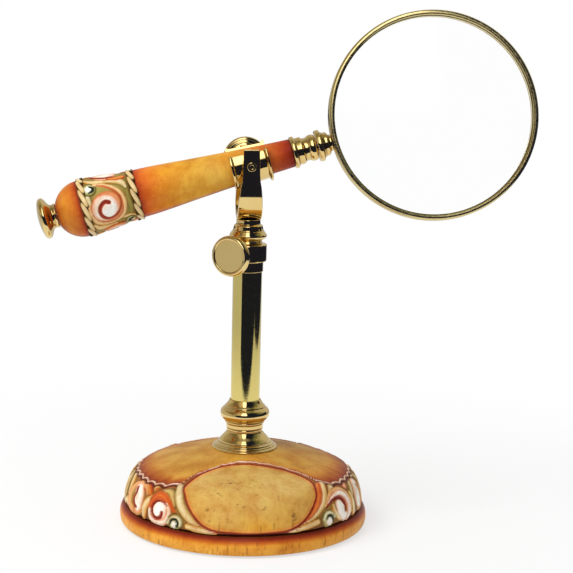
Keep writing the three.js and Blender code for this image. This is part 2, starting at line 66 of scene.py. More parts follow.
# Colours of the stain and the paint, as red, green and blue from 0 to 255

WHITE = (252, 247, 240)
PALE = (249, 230, 205)
CREAM = (238, 208, 150)
PINK = (242, 190, 165)
SALMON = (230, 142, 98)
LIGHT_ORANGE = (232, 160, 82)
ORANGE = (216, 112, 40)
RED_ORANGE = (190, 72, 30)
DARK_RED = (140, 42, 28)
MAROON = (84, 24, 20)
BROWN = (112, 58, 26)
OCHRE = (206, 146, 56)
OLIVE = (134, 116, 50)
DARK_OLIVE = (72, 62, 28)
PALE_GREEN = (196, 200, 150)
DARK_GREEN = (28, 50, 36)
BLACK = (20, 20, 20)
EDGE_HIGHLIGHT = (240, 172, 92)

# What a carved form is painted with, from its middle to its edge
BLOSSOM = [(0, WHITE), (0.6, WHITE), (0.8, (247, 222, 205)), (0.92, PINK), (1, SALMON)]
RIM = [(0, WHITE), (0.4, (247, 222, 205)), (0.75, PINK), (1, SALMON)]
HALO = [(0, (236, 172, 116)), (0.45, (230, 156, 100)), (0.8, (218, 178, 108)), (1, (178, 140, 74))]
BUD = [(0, WHITE), (0.35, WHITE), (0.6, PALE_GREEN), (0.85, OLIVE), (1, DARK_OLIVE)]
LEAF = [(0, (240, 216, 166)), (0.5, (226, 190, 124)), (0.85, OCHRE), (1, BROWN)]
GREEN_LEAF = [(0, (234, 216, 176)), (0.5, (216, 198, 150)), (0.85, (158, 134, 70)), (1, DARK_OLIVE)]
PETAL = [(0, PALE), (0.4, CREAM), (0.8, LIGHT_ORANGE), (1, BROWN)]
FLAME = [(0, LIGHT_ORANGE), (0.5, ORANGE), (0.85, RED_ORANGE), (1, DARK_RED)]
HOOK = [(0, DARK_RED), (0.6, DARK_RED), (1, RED_ORANGE)]
STEM = [(0, DARK_GREEN), (0.7, DARK_GREEN), (1, OLIVE)]
INK = [(0, BLACK), (0.7, DARK_GREEN), (1, OLIVE)]
DULL_LEAF = [(0, (214, 176, 108)), (0.5, (176, 140, 74)), (1, DARK_OLIVE)]
OLIVE_LEAF = [(0, (168, 154, 84)), (1, OLIVE)]
RED_LEAF = [(0, ORANGE), (0.5, RED_ORANGE), (0.85, ORANGE), (1, BROWN)]
RED_STEM = [(0, RED_ORANGE), (0.5, ORANGE), (1, SALMON)]
GREEN_RIM = [(0, PALE), (0.6, PALE_GREEN), (1, OLIVE)]
WHITE_BUD = [(0, WHITE), (0.75, WHITE), (1, PALE_GREEN)]
PINK_BUD = [(0, PINK), (0.6, SALMON), (1, BROWN)]
RED_BUD = [(0, WHITE), (0.5, PINK), (1, RED_ORANGE)]
WARM_HALO = [(0, (240, 204, 152)), (0.6, (232, 176, 118)), (1, (176, 126, 62))]
WARM_DISC = [(0, (232, 160, 110)), (0.8, (228, 148, 96)), (1, (196, 106, 58))]
FADED_HOOK = [(0, (206, 108, 56)), (1, (222, 146, 86))]

# Stains of the base, and painted shade in the groove, at the plinth's top and at the scroll band's
# edges: across a zone or a mark, between the blotches of a zone, or in one plain colour
DOME_EDGE_STAIN = [
    (0, (120, 38, 22)), (0.1, (152, 62, 26)), (0.35, (176, 92, 26)), (0.7, (198, 126, 38)), (1, OCHRE),
]
DOME_STAIN = [(0, (194, 138, 44)), (1, (206, 156, 66))]
BAND_STAIN_AND_SHADE = [(0, (120, 58, 26)), (0.12, (140, 98, 44)), (0.6, (164, 122, 56)), (1, (150, 88, 36))]
PLINTH_STAIN_AND_SHADE = [
    (0, (104, 30, 16)), (0.1, (134, 42, 18)), (0.26, (192, 94, 30)), (0.45, (232, 158, 50)),
    (1, (230, 170, 70)),
]
PLINTH_BLOTCH = [(0, (242, 184, 76)), (1, (214, 136, 46))]
GROOVE_SHADE = (84, 26, 16)
PANEL_STAIN = [(0, (218, 150, 50)), (0.25, (216, 162, 70)), (0.55, (212, 170, 92)), (1, (202, 158, 78))]
PANEL_CLOUD, PANEL_GLOW = (216, 178, 108), (234, 154, 24)
SCRATCH = [(0, (96, 64, 30)), (1, (140, 98, 48))]
FLECK, STREAK = (84, 56, 28), (112, 60, 24)

# Stains of the handle: by the place along it, darkest in thin lines by the ropes and at the ferrule,
# then under it, where the darkening is partly painted shade, then in pale blotches
HANDLE_STAIN = [
    (-98, (168, 78, 28)), (-96, (196, 112, 36)), (-93, (212, 132, 40)), (-89, (208, 118, 38)),
    (-86.6, (190, 84, 30)), (-85.4, (136, 40, 20)), (-85.0, (110, 70, 34)), (-81.6, (130, 96, 44)),
    (-81, (144, 122, 56)), (-76, (166, 146, 74)), (-66, (160, 144, 72)), (-61, (138, 120, 54)),
    (-60.4, (120, 88, 42)), (-57.0, (96, 32, 18)), (-56.4, (178, 66, 26)), (-53.5, (218, 104, 34)),
    (-49, (226, 128, 38)), (-42, (228, 150, 40)), (-30, (232, 172, 56)), (-14, (230, 168, 58)),
    (-5, (220, 148, 46)), (4, (212, 128, 44)), (10, (200, 102, 36)), (15, (188, 78, 28)),
    (19, (162, 52, 22)), (21.8, (124, 34, 16)),
]
UNDERSIDE_STAIN_AND_SHADE = [(0, (104, 34, 20)), (0.5, (140, 54, 24)), (1, (160, 70, 30))]
HANDLE_BLOTCH = (232, 184, 96)


# Settings that a user can change


class BrassSettings(bpy.types.PropertyGroup):
    """Finish and fineness of the turned brass"""

    colour: FloatVectorProperty(
        name="Brass Colour", description="Colour of the polished brass",
        default=(0.80, 0.60, 0.245, 1), size=4, subtype="COLOR", min=0, max=1,
    )
    tarnish: FloatVectorProperty(
        name="Tarnish Colour", description="Colour of the brass in its hollows",
        default=(0.26, 0.15, 0.05, 1), size=4, subtype="COLOR", min=0, max=1,
    )
    polish: FloatProperty(
        name="Roughness", description="Roughness of the polished faces",
        default=0.05, min=0, max=1, subtype="FACTOR",
    )
    turned_sides: IntProperty(
        name="Sides of Turned Pieces", description="Steps around each turned piece",
        default=96, min=12, max=256,
    )
    ring_sides: IntProperty(
        name="Sides of the Lens Ring", description="Steps around the lens, its ring and the retaining ring",
        default=224, min=24, max=512,
    )


class BaseSettings(bpy.types.PropertyGroup):
    """Sizes of the carved base"""

    radius: FloatProperty(
        name="Base Radius", description="Radius of the plinth at its widest",
        default=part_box("base_body")[1].x, unit="LENGTH",
    )
    dome_inset: FloatProperty(
        name="Dome Inset", description="How far the dome stands in from the plinth",
        default=2.8 * MM, unit="LENGTH",
    )
    plinth_top: FloatProperty(
        name="Plinth Top", description="Height of the plinth above the table",
        default=10 * MM, unit="LENGTH",
    )
    groove_width: FloatProperty(
        name="Groove Width", description="Height of the groove between plinth and dome",
        default=1.2 * MM, unit="LENGTH",
    )
    groove_depth: FloatProperty(
        name="Groove Depth", description="How deep the groove is cut",
        default=1.8 * MM, unit="LENGTH",
    )
    crown: FloatProperty(
        name="Crown Height", description="Height of the dome's flat crown above the table",
        default=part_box("base_body")[1].z, unit="LENGTH",
    )
    relief: FloatProperty(
        name="Relief", description="How far the carved forms stand above the dome",
        default=1.0 * MM, unit="LENGTH",
    )
    columns: IntProperty(
        name="Columns", description="Steps of the carved surface around the base",
        default=640, min=120, max=640,
    )


class HandleSettings(bpy.types.PropertyGroup):
    """Sizes of the carved handle"""

    tilt: FloatProperty(
        name="Tilt", description="Angle of the handle above the horizontal",
        default=math.radians(15.56), subtype="ANGLE",
    )
    roll: FloatProperty(
        name="Roll", description="Turn of the handle about its own axis",
        default=math.radians(-11.6), subtype="ANGLE",
    )
    relief: FloatProperty(
        name="Relief", description="How far the carved forms stand above the band",
        default=0.7 * MM, unit="LENGTH",
    )
    columns: IntProperty(
        name="Columns", description="Steps of the carved surface around the handle",
        default=320, min=60, max=480,
    )
    rear_strands: IntProperty(
        name="Rear Rope Strands", description="Strands in the rope moulding by the dome",
        default=13, min=5, max=40,
    )
    front_strands: IntProperty(
        name="Front Rope Strands", description="Strands in the rope moulding by the taper",
        default=11, min=5, max=40,
    )
    strand_lean: FloatProperty(
        name="Strand Lean", description="Angle of a strand to the rope's run",
        default=math.radians(15), subtype="ANGLE",
    )


class ForkSettings(bpy.types.PropertyGroup):
    """Sizes of the fork and the clip"""

    thickness: FloatProperty(
        name="Strap Thickness", description="Thickness of the fork's strap",
        default=2.4 * MM, unit="LENGTH",
    )
    ear_width: FloatProperty(
        name="Ear Width", description="Width of the ears at the pivot",
        default=8.7 * MM, unit="LENGTH",
    )
    foot_width: FloatProperty(
        name="Foot Width", description="Width of the fork at its foot",
        default=11.7 * MM, unit="LENGTH",
    )
    edge_round: FloatProperty(
        name="Edge Rounding", description="Radius of the strap's broken edges",
        default=0.35 * MM, unit="LENGTH",
    )
    clip_wall: FloatProperty(
        name="Clip Wall", description="Thickness of the clip",
        default=1.1 * MM, unit="LENGTH",
    )
    clip_length: FloatProperty(
        name="Clip Length", description="Length of the clip along the handle",
        default=19.6 * MM, unit="LENGTH",
    )


class StageSettings(bpy.types.PropertyGroup):
    """Camera, lights and floor"""

    lens: FloatProperty(
        name="Focal Length", description="Focal length of the camera in millimetres",
        default=106.38, min=10,
    )
    camera_place: FloatVectorProperty(
        name="Camera Place", description="Where the camera stands",
        default=(-0.0715, -0.8349, 0.2698), size=3, subtype="TRANSLATION",
    )
    camera_yaw: FloatProperty(
        name="Camera Yaw", description="How far the camera looks from +Y towards +X",
        default=math.radians(6.244), subtype="ANGLE",
    )
    camera_pitch: FloatProperty(
        name="Camera Pitch", description="How far the camera looks down",
        default=math.radians(10.016), subtype="ANGLE",
    )
    camera_roll: FloatProperty(
        name="Camera Roll", description="Turn of the camera about its own view",
        default=math.radians(1.313), subtype="ANGLE",
    )
    key_power: FloatProperty(
        name="Key Light Power", description="Power of the soft light above the object's left",
        default=11, min=0, unit="POWER",
    )
    room_light: FloatProperty(
        name="Room Light", description="Level of the even light from all round",
        default=0.58, min=0, max=2,
    )


# Node trees and materials


class Tree:
    """A node tree, with short ways to add its nodes and to link them"""

    def __init__(self, tree):
        self.tree = tree

    def add(self, kind, inputs=None, **settings):
        """A node with its settings, and its inputs each linked to a socket or set to a value"""
        node = self.tree.nodes.new(kind)
        for key, value in settings.items():
            setattr(node, key, value)
        for key, value in (inputs or {}).items():
            if isinstance(value, bpy.types.NodeSocket):
                self.tree.links.new(value, node.inputs[key])
            else:
                node.inputs[key].default_value = value
        return node

    def math(self, operation, first, second=0.0):
        node = self.add("ShaderNodeMath", {0: first, 1: second}, operation=operation)
        return node.outputs[0]


class ShaderTree(Tree):
    """A tree that shades a material or the world"""

    def place(self, scale=(1, 1, 1)):
        """Object coordinates in metres, stretched by scale"""
        source = self.add("ShaderNodeTexCoord")
        mapping = self.add("ShaderNodeMapping", {"Vector": source.outputs["Object"], "Scale": scale})
        return mapping.outputs["Vector"]

    def noise(self, vector, scale, detail=4.0, roughness=0.5):
        inputs = {"Vector": vector, "Scale": scale, "Detail": detail, "Roughness": roughness}
        return self.add("ShaderNodeTexNoise", inputs).outputs["Fac"]

    def spread(self, value, low, high, to_low, to_high):
        """A value's range from low to high, spread over another range"""
        inputs = {"Value": value, "From Min": low, "From Max": high, "To Min": to_low, "To Max": to_high}
        return self.add("ShaderNodeMapRange", inputs).outputs["Result"]

    def mixed(self, factor, first, second, blend="MIX"):
        """A colour between two colours, each a socket or a plain colour"""
        inputs = {0: factor, 6: first, 7: second}
        return self.add("ShaderNodeMix", inputs, data_type="RGBA", blend_type=blend).outputs[2]

    def ramp(self, value, stops):
        """Colours between stops, by a value"""
        node = self.add("ShaderNodeValToRGB", {"Fac": value})
        elements = node.color_ramp.elements
        while len(elements) < len(stops):
            elements.new(0.5)
        for element, (position, colour) in zip(elements, stops):
            element.position = position
            element.color = colour
        return node.outputs["Color"]

    def attribute(self, name, output):
        return self.add("ShaderNodeAttribute", attribute_name=name).outputs[output]


class Shader(ShaderTree):
    """A material, with short ways to set and feed its surface"""

    def __init__(self, name):
        self.material = bpy.data.materials.new(name)
        self.material.use_nodes = True
        super().__init__(self.material.node_tree)
        self.surface = self.tree.nodes["Principled BSDF"]
        self.output = self.tree.nodes["Material Output"]

    def bump(self, height, strength, distance):
        inputs = {"Height": height, "Strength": strength, "Distance": distance}
        self.feed("Normal", self.add("ShaderNodeBump", inputs).outputs["Normal"])

    def set(self, **values):
        for key, value in values.items():
            self.surface.inputs[key.replace("_", " ")].default_value = value

    def feed(self, key, socket):
        self.tree.links.new(socket, self.surface.inputs[key])


def linear(colour):
    """A colour from 0 to 255 as the linear values that a shader takes"""
    value = np.asarray(colour, float) / 255
    return np.where(value <= 0.04045, value / 12.92, ((value + 0.055) / 1.055) ** 2.4)


def polished_brass(settings, name, tint, dullness=1.0):
    """Brass with a warm, slightly uneven polish, fine scratches and dark hollows"""
    shader = Shader(name)
    place = shader.place()
    wear = shader.attribute("wear", "Fac")
    broad = shader.noise(place, 90, 3)
    bright = [c * t for c, t in zip(settings.colour, tint)] + [1]
    warm = [c * w for c, w in zip(bright, (0.97, 0.90, 0.82))] + [1]
    uneven = shader.mixed(shader.spread(broad, 0.35, 0.7, 0, 0.6), bright, warm)
    hollow = shader.spread(wear, -0.1, -1.0, 0, 0.65)
    aged = shader.mixed(hollow, uneven, tuple(settings.tarnish))
    edge = shader.spread(wear, 0.2, 1.0, 0, 0.4)
    shader.feed("Base Color", shader.mixed(edge, aged, (0.92, 0.78, 0.46, 1)))
    smear = shader.noise(place, 420, 5, 0.6)
    polish = settings.polish * dullness
    shader.feed("Roughness", shader.spread(smear, 0.3, 0.75, polish * 0.7, polish * 1.9))
    scratches = shader.noise(shader.place((1, 1, 9)), 900, 6, 0.7)
    shader.bump(scratches, 0.06, 0.00006)
    shader.set(Metallic=1.0)
    return shader.material


def stained_wood(name):
    """Carved wood with a painted stain that holds painted shade and highlights in places, mottled and
    lacquered
    """
    shader = Shader(name)
    place = shader.place()
    paint = shader.attribute("paint", "Color")
    clouds = shader.noise(place, 55, 5, 0.55)
    mottle = shader.ramp(
        clouds,
        [(0.3, (0.80, 0.68, 0.52, 1)), (0.5, (0.98, 0.96, 0.92, 1)), (0.7, (1.07, 1.13, 1.2, 1))],
    )
    mottled = shader.mixed(1.0, paint, mottle, "MULTIPLY")
    rubs = shader.noise(place, 120, 7, 0.72)
    rubbed = shader.ramp(
        rubs,
        [(0.4, (0.90, 0.76, 0.58, 1)), (0.5, (1, 1, 1, 1)), (0.6, (1.06, 1.16, 1.14, 1))],
    )
    grained = shader.mixed(0.75, mottled, rubbed, "MULTIPLY")
    grain = shader.noise(shader.place((1, 1, 0.16)), 700, 4, 0.6)
    streaks = shader.ramp(grain, [(0.33, (0.70, 0.58, 0.45, 1)), (0.47, (1, 1, 1, 1))])
    streaked = shader.mixed(0.32, grained, streaks, "MULTIPLY")
    specks = shader.noise(place, 1400, 2, 0.5)
    pores = shader.ramp(specks, [(0.24, (0.35, 0.2, 0.1, 1)), (0.31, (1, 1, 1, 1))])
    shader.feed("Base Color", shader.mixed(0.5, streaked, pores, "MULTIPLY"))
    shader.feed("Roughness", shader.spread(clouds, 0.3, 0.7, 0.5, 0.36))
    fine = shader.noise(place, 1100, 5, 0.6)
    shader.bump(fine, 0.18, 0.00012)
    shader.set(Specular_IOR_Level=0.15, Coat_Weight=0.05, Coat_Roughness=0.14)
    return shader.material


def rope_stain_and_shade():
    """Cream rope strands with olive stain left in the lay, darkened there as painted shade"""
    shader = Shader("rope stain")
    place = shader.place()
    crest = shader.attribute("crest", "Fac")
    # Painted shade: the strands darken from cream on their crests to dark olive down in the lay
    stops = [(0.28, DARK_OLIVE), (0.44, (166, 130, 66)), (0.6, (222, 188, 122)), (0.95, (240, 214, 160))]
    lay = shader.ramp(crest, [(share, (*linear(colour), 1)) for share, colour in stops])
    clouds = shader.noise(place, 240, 4, 0.6)
    mottle = shader.ramp(clouds, [(0.3, (0.75, 0.66, 0.5, 1)), (0.6, (1, 1, 1, 1))])
    shader.feed("Base Color", shader.mixed(0.7, lay, mottle, "MULTIPLY"))
    shader.feed("Roughness", shader.spread(clouds, 0.3, 0.7, 0.45, 0.32))
    shader.bump(shader.noise(place, 1500, 4, 0.6), 0.2, 0.0001)
    shader.set(Coat_Weight=0.2, Coat_Roughness=0.18)
    return shader.material


def brushed_steel():
    """Plain steel for the hidden fastenings"""
    shader = Shader("brushed steel")
    lines = shader.noise(shader.place((1, 1, 12)), 600, 5, 0.6)
    shader.feed("Base Color", shader.ramp(lines, [(0.3, (0.36, 0.36, 0.35, 1)), (0.7, (0.62, 0.62, 0.6, 1))]))
    shader.feed("Roughness", shader.spread(lines, 0.3, 0.7, 0.25, 0.42))
    shader.bump(lines, 0.15, 0.00005)
    shader.set(Metallic=1.0)
    return shader.material


def green_felt():
    """Dark green felt under the base"""
    shader = Shader("green felt")
    place = shader.place()
    fibres = shader.noise(place, 2600, 6, 0.75)
    clumps = shader.noise(place, 300, 3, 0.6)
    pile = shader.ramp(fibres, [(0.3, (0.012, 0.025, 0.012, 1)), (0.7, (0.05, 0.085, 0.045, 1))])
    shade = shader.ramp(clumps, [(0.35, (0.75, 0.75, 0.75, 1)), (0.65, (1.1, 1.1, 1.05, 1))])
    shader.feed("Base Color", shader.mixed(1.0, pile, shade, "MULTIPLY"))
    shader.bump(fibres, 0.7, 0.0003)
    shader.set(Roughness=0.95, Sheen_Weight=0.25, Sheen_Roughness=0.5)
    return shader.material


def clear_glass():
    """Clear optical glass with the faintest dust on it, and with its reflections toned down"""
    shader = Shader("clear glass")
    dust = shader.noise(shader.place(), 160, 5, 0.7)
    shader.feed("Roughness", shader.spread(dust, 0.45, 0.8, 0.0, 0.02))
    shader.feed("Base Color", shader.ramp(dust, [(0.4, (1, 1, 1, 1)), (0.75, (0.985, 0.995, 0.99, 1))]))
    shader.set(Transmission_Weight=1.0, IOR=1.5, Specular_Tint=(0.3, 0.3, 0.3, 1), Specular_IOR_Level=0.03)
    return shader.material


# Meshes


def mesh_object(name, vertices, faces, material, smooth=True):
    """A mesh object at the origin from its points and faces, in metres"""
    mesh = bpy.data.meshes.new(name)
    mesh.from_pydata([tuple(v) for v in vertices], [], [tuple(f) for f in faces])
    mesh.validate()
    mesh.polygons.foreach_set("use_smooth", [smooth] * len(mesh.polygons))
    mesh.materials.append(material)
    mesh.update()
    item = bpy.data.objects.new(name, mesh)
    bpy.context.scene.collection.objects.link(item)
    return item


def grid_faces(columns, rows, wrap_rows=False):
    """Faces of a closed band of columns, with its rows joined too where asked"""
    column = np.arange(columns)
    beside = (column + 1) % columns
    last = rows if wrap_rows else rows - 1
    row = np.arange(last)
    above = (row + 1) % rows
    a = column[:, None] * rows + row[None, :]
    b = beside[:, None] * rows + row[None, :]
    c = beside[:, None] * rows + above[None, :]
    d = column[:, None] * rows + above[None, :]
    return np.stack([a, b, c, d], -1).reshape(-1, 4)


def swept_faces(sections, rows):
    """Faces of a bar that runs through closed sections of so many points, with both ends closed"""
    faces = []
    for start in range(0, (sections - 1) * rows, rows):
        for i in range(rows):
            j = (i + 1) % rows
            faces.append((start + i, start + j, start + rows + j, start + rows + i))
    last = (sections - 1) * rows
    return [*faces, tuple(range(rows))[::-1], tuple(range(last, last + rows))]


def sharpen(item, degrees):
    """Keeps the edges that turn more than an angle crisp in smooth shading"""
    item.data.set_sharp_from_angle(angle=math.radians(degrees))


def plain_mesh(item):
    """Turns an object and its modifiers into one plain mesh object of the same name"""
    bpy.context.view_layer.update()
    graph = bpy.context.evaluated_depsgraph_get()
    mesh = bpy.data.meshes.new_from_object(item.evaluated_get(graph), depsgraph=graph)
    name = item.name
    for modifier in list(item.modifiers):
        item.modifiers.remove(modifier)
    old = item.data
    bpy.data.objects.remove(item)
    bpy.data.meshes.remove(old)
    mesh.name = name
    result = bpy.data.objects.new(name, mesh)
    bpy.context.scene.collection.objects.link(result)
    return result


def hand_over(item, body, slot, *nodes):
    """Gives a finished piece to its body and the nodes that it stands for. The slot is not used."""
    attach(item, body)
    if nodes:
        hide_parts(*nodes)


# Outlines of turned pieces, in millimetres, and their tables in shares of a radius and a height


def softened(points, reach, closed):
    """Rounds an outline's corners, each over at most reach along its two sides, and gives with
    each point how far the outline bulges out there, from 1 on an edge to -1 in a hollow"""
    corners = [(p[0], p[1], p[2] if len(p) > 2 else reach) for p in points]
    count = len(corners)
    result = []
    for i, (r, h, own) in enumerate(corners):
        here = np.array([r, h])
        if not closed and i in (0, count - 1):
            result.append((r, h, 0.0))
            continue
        before = here - np.array(corners[i - 1][:2])
        after = np.array(corners[(i + 1) % count][:2]) - here
        into, out = np.hypot(*before), np.hypot(*after)
        if into < 1e-6 or out < 1e-6:
            continue
        before, after = before / into, after / out
        start, end = min(own, into / 2), min(own, out / 2)
        turning = math.atan2(before[0] * after[1] - before[1] * after[0], float(before @ after))
        bulge = max(-1.0, min(1.0, turning / math.radians(40)))
        steps = max(1, min(7, math.ceil(abs(turning) / math.radians(9))))
        guard = min(0.06, start * 0.4)
        if into > 2 * start + 2 * guard:
            result.append((*(here - before * (start + guard)), 0.0))
        first, last = here - before * start, here + after * end
        for k in range(steps + 1):
            t = k / steps
            point = (1 - t) ** 2 * first + 2 * t * (1 - t) * here + t * t * last
            result.append((point[0], point[1], bulge * 4 * t * (1 - t) if steps > 1 else 0.0))
        guard = min(0.06, end * 0.4)
        if out > 2 * end + 2 * guard:
            result.append((*(here + after * (end + guard)), 0.0))
    kept = [result[0]]
    for point in result[1:]:
        if math.hypot(point[0] - kept[-1][0], point[1] - kept[-1][1]) > 0.004:
            kept.append(point)
    return kept


def scaled(shares, radius, height, low=0.0, inner=0.0):
    """An outline from a table of radius shares and height shares, counted from a height and, where
    one is given, from an inner radius"""
    return [(inner + r * radius, low + h * height, *rest) for r, h, *rest in shares]


def bored(points, bore):
    """A closed outline with a straight bore"""
    return [(bore, points[0][1]), *points, (bore, points[-1][1])]


def capped(points):
    """An open outline that starts and ends on the axis"""
    return [(0.0, points[0][1]), *points, (0.0, points[-1][1])]


BELL = [
    (0.972, 0), (1, 0.03), (1.003, 0.065), (0.985, 0.1), (0.94, 0.118), (0.92, 0.14), (0.915, 0.17),
    (0.9, 0.185), (0.87, 0.2), (0.862, 0.23), (0.862, 0.26), (0.83, 0.29), (0.79, 0.31), (0.776, 0.34),
    (0.776, 0.38), (0.765, 0.41), (0.74, 0.45), (0.725, 0.49), (0.69, 0.55), (0.645, 0.62), (0.605, 0.69),
    (0.575, 0.76), (0.552, 0.82), (0.548, 0.87), (0.56, 0.9), (0.56, 0.96), (0.545, 1),
]
KNOP = [
    (0.373, 0), (0.373, 0.15), (0.44, 0.165), (0.52, 0.185), (0.54, 0.215), (0.52, 0.245), (0.46, 0.262),
    (0.5, 0.272), (0.62, 0.275), (0.816, 0.34), (0.963, 0.43), (1, 0.51), (0.963, 0.59), (0.853, 0.66),
    (0.65, 0.72), (0.56, 0.742), (0.56, 0.765), (0.49, 0.79), (0.384, 0.82), (0.237, 0.89), (0.139, 0.96),
    (0.09, 1),
]
NECK = [
    (0.25, 0), (0.317, 0.03), (0.317, 0.06), (0.257, 0.085), (0.213, 0.12), (0.25, 0.15), (0.406, 0.17),
    (0.7, 0.2), (0.87, 0.25), (0.93, 0.27), (1, 0.3), (1, 0.345), (0.95, 0.38), (0.84, 0.42), (0.72, 0.46),
    (0.62, 0.5), (0.6, 0.515), (0.46, 0.54), (0.4, 0.6), (0.36, 0.67), (0.34, 0.73), (0.28, 0.755),
    (0.1, 0.78), (-0.02, 0.8), (-0.05, 0.84), (-0.05, 1),
]
THUMBSCREW = [
    (0.42, 0), (0.44, 0.04), (0.41, 0.09), (0.36, 0.17), (0.36, 0.3), (0.42, 0.4), (0.58, 0.47),
    (0.84, 0.51), (0.95, 0.56), (1, 0.66), (1, 0.8), (0.975, 0.92), (0.91, 0.995), (0.86, 1),
    (0.81, 0.985), (0.79, 0.95, 0.25),
]
PIVOT_KNOB = [
    (0.34, 0), (0.36, 0.03), (0.34, 0.07), (0.3, 0.14), (0.3, 0.4), (0.36, 0.5), (0.5, 0.57), (0.66, 0.61),
    (0.735, 0.63), (0.75, 0.66), (0.75, 0.69), (0.8, 0.7), (0.86, 0.71), (0.885, 0.725), (0.885, 0.74),
    (0.95, 0.75), (1, 0.8), (1, 0.87), (0.975, 0.94), (0.9, 0.985), (0.6, 1),
]
END_KNOB = [
    (0.56, 0), (0.6, 0.06), (0.585, 0.12), (0.555, 0.18), (0.57, 0.27), (0.66, 0.36), (0.8, 0.44),
    (0.92, 0.51), (0.985, 0.57), (1, 0.64), (0.985, 0.73), (0.93, 0.81), (0.78, 0.88), (0.55, 0.94),
    (0.28, 0.985),
]
FERRULE = [
    (0.94, 0), (1, 0.04), (1, 0.14), (0.95, 0.18), (0.86, 0.195), (0.835, 0.21), (0.84, 0.27), (0.85, 0.33),
    (0.85, 0.42), (0.81, 0.45), (0.73, 0.49), (0.715, 0.53), (0.715, 0.6), (0.72, 0.68), (0.77, 0.7),
    (0.8, 0.74), (0.825, 0.79), (0.825, 0.9), (0.79, 0.955), (0.72, 1),
]
SOCKET = [
    (0.9, 0), (0.98, 0.05), (1, 0.15), (1, 0.32), (0.95, 0.4), (0.86, 0.43), (0.81, 0.46), (0.8, 0.54),
    (0.76, 0.57), (0.745, 0.62), (0.745, 0.82), (0.72, 0.88), (0.64, 0.93), (0.56, 0.97),
]
LENS_RING = [
    (0.2, 0), (0.5, 0.01), (0.78, 0.045), (0.94, 0.105), (1, 0.2), (0.97, 0.33), (0.86, 0.41), (0.74, 0.44),
    (0.7, 0.47), (0.7, 0.53), (0.74, 0.56), (0.86, 0.59), (0.97, 0.67), (1, 0.8), (0.94, 0.895),
    (0.78, 0.955), (0.5, 0.99), (0.2, 1),
]


# Geometry Nodes


class GeometryTree(Tree):
    """A Geometry Nodes tree, with short ways to add its named inputs and to end it"""

    def __init__(self, name):
        super().__init__(bpy.data.node_groups.new(name, "GeometryNodeTree"))
        face = self.tree.interface
        face.new_socket(name="Geometry", in_out="INPUT", socket_type="NodeSocketGeometry")
        face.new_socket(name="Geometry", in_out="OUTPUT", socket_type="NodeSocketGeometry")
        self.start = self.tree.nodes.new("NodeGroupInput")
        self.end = self.tree.nodes.new("NodeGroupOutput")

    def size(self, name, kind, default=None):
        """A named input of the tree"""
        socket = self.tree.interface.new_socket(name=name, in_out="INPUT", socket_type=kind)
        if default is not None:
            socket.default_value = default

    def store(self, geometry, name, value):
        """Keeps a number for each point under a name"""
        inputs = {"Geometry": geometry, "Name": name, "Value": value}
        settings = {"data_type": "FLOAT", "domain": "POINT"}
        return self.add("GeometryNodeStoreNamedAttribute", inputs, **settings).outputs[0]

    def sample(self, geometry, value, index, kind):
        """The value that another geometry has at an index"""
        inputs = {"Geometry": geometry, "Value": value, "Index": index}
        return self.add("GeometryNodeSampleIndex", inputs, data_type=kind, domain="POINT").outputs[0]

    def combined(self, x=0.0, y=0.0, z=0.0):
        return self.add("ShaderNodeCombineXYZ", {0: x, 1: y, 2: z}).outputs[0]

    def around(self, radius, turn, height=0.0):
        """The place at a radius, a turn about Z and a height"""
        x = self.math("MULTIPLY", radius, self.math("COSINE", turn))
        y = self.math("MULTIPLY", radius, self.math("SINE", turn))
        return self.combined(x, y, height)

    def blunted(self, value, power):
        """A value between -1 and 1 raised to a power, with its sign kept"""
        size = self.math("POWER", self.math("ABSOLUTE", value), power)
        return self.math("MULTIPLY", self.math("SIGN", value), size)

    def finish(self, geometry):
        """Ends the tree in plain, smooth geometry with its material"""
        smooth = self.add("GeometryNodeSetShadeSmooth", {"Geometry": geometry})
        real = self.add("GeometryNodeRealizeInstances", {"Geometry": smooth.outputs[0]})
        dressed = self.add(
            "GeometryNodeSetMaterial",
            {"Geometry": real.outputs[0], "Material": self.start.outputs["Finish"]},
        )
        self.tree.links.new(dressed.outputs[0], self.end.inputs[0])


def turning_tree():
    """Turns an outline, given as points with X as radius and Z as height, into a round piece"""
    nodes = GeometryTree("Turned Piece")
    nodes.size("Sides", "NodeSocketInt", 96)
    nodes.size("Closed Outline", "NodeSocketInt", 1)
    nodes.size("Weld", "NodeSocketFloat", 1e-6)
    nodes.size("Finish", "NodeSocketMaterial")
    start = nodes.start.outputs
    outline = start["Geometry"]
    domain = nodes.add("GeometryNodeAttributeDomainSize", {"Geometry": outline}, component="MESH")
    points = domain.outputs["Point Count"]
    rows = nodes.math("ADD", points, start["Closed Outline"])
    columns = nodes.math("ADD", start["Sides"], 1.0)
    grid = nodes.add("GeometryNodeMeshGrid", {"Vertices X": columns, "Vertices Y": rows})
    index = nodes.add("GeometryNodeInputIndex").outputs[0]
    column = nodes.math("FLOOR", nodes.math("DIVIDE", nodes.math("ADD", index, 0.5), rows))
    row = nodes.math("SUBTRACT", index, nodes.math("MULTIPLY", column, rows))
    wrapped = nodes.math("MODULO", row, points)
    position = nodes.add("GeometryNodeInputPosition").outputs[0]
    sampled = nodes.sample(outline, position, wrapped, "FLOAT_VECTOR")
    radius, _, height = nodes.add("ShaderNodeSeparateXYZ", {0: sampled}).outputs
    turn = nodes.math("DIVIDE", nodes.math("MULTIPLY", column, math.tau), start["Sides"])
    placed = nodes.around(radius, turn, height)
    wear = nodes.add("GeometryNodeInputNamedAttribute", {"Name": "wear"}, data_type="FLOAT").outputs[0]
    worn = nodes.sample(outline, wear, wrapped, "FLOAT")
    marked = nodes.store(grid.outputs["Mesh"], "wear", worn)
    shaped = nodes.add("GeometryNodeSetPosition", {"Geometry": marked, "Position": placed})
    welded = nodes.add(
        "GeometryNodeMergeByDistance",
        {"Geometry": shaped.outputs[0], "Distance": start["Weld"]},
    )
    nodes.finish(welded.outputs[0])
    return nodes.tree


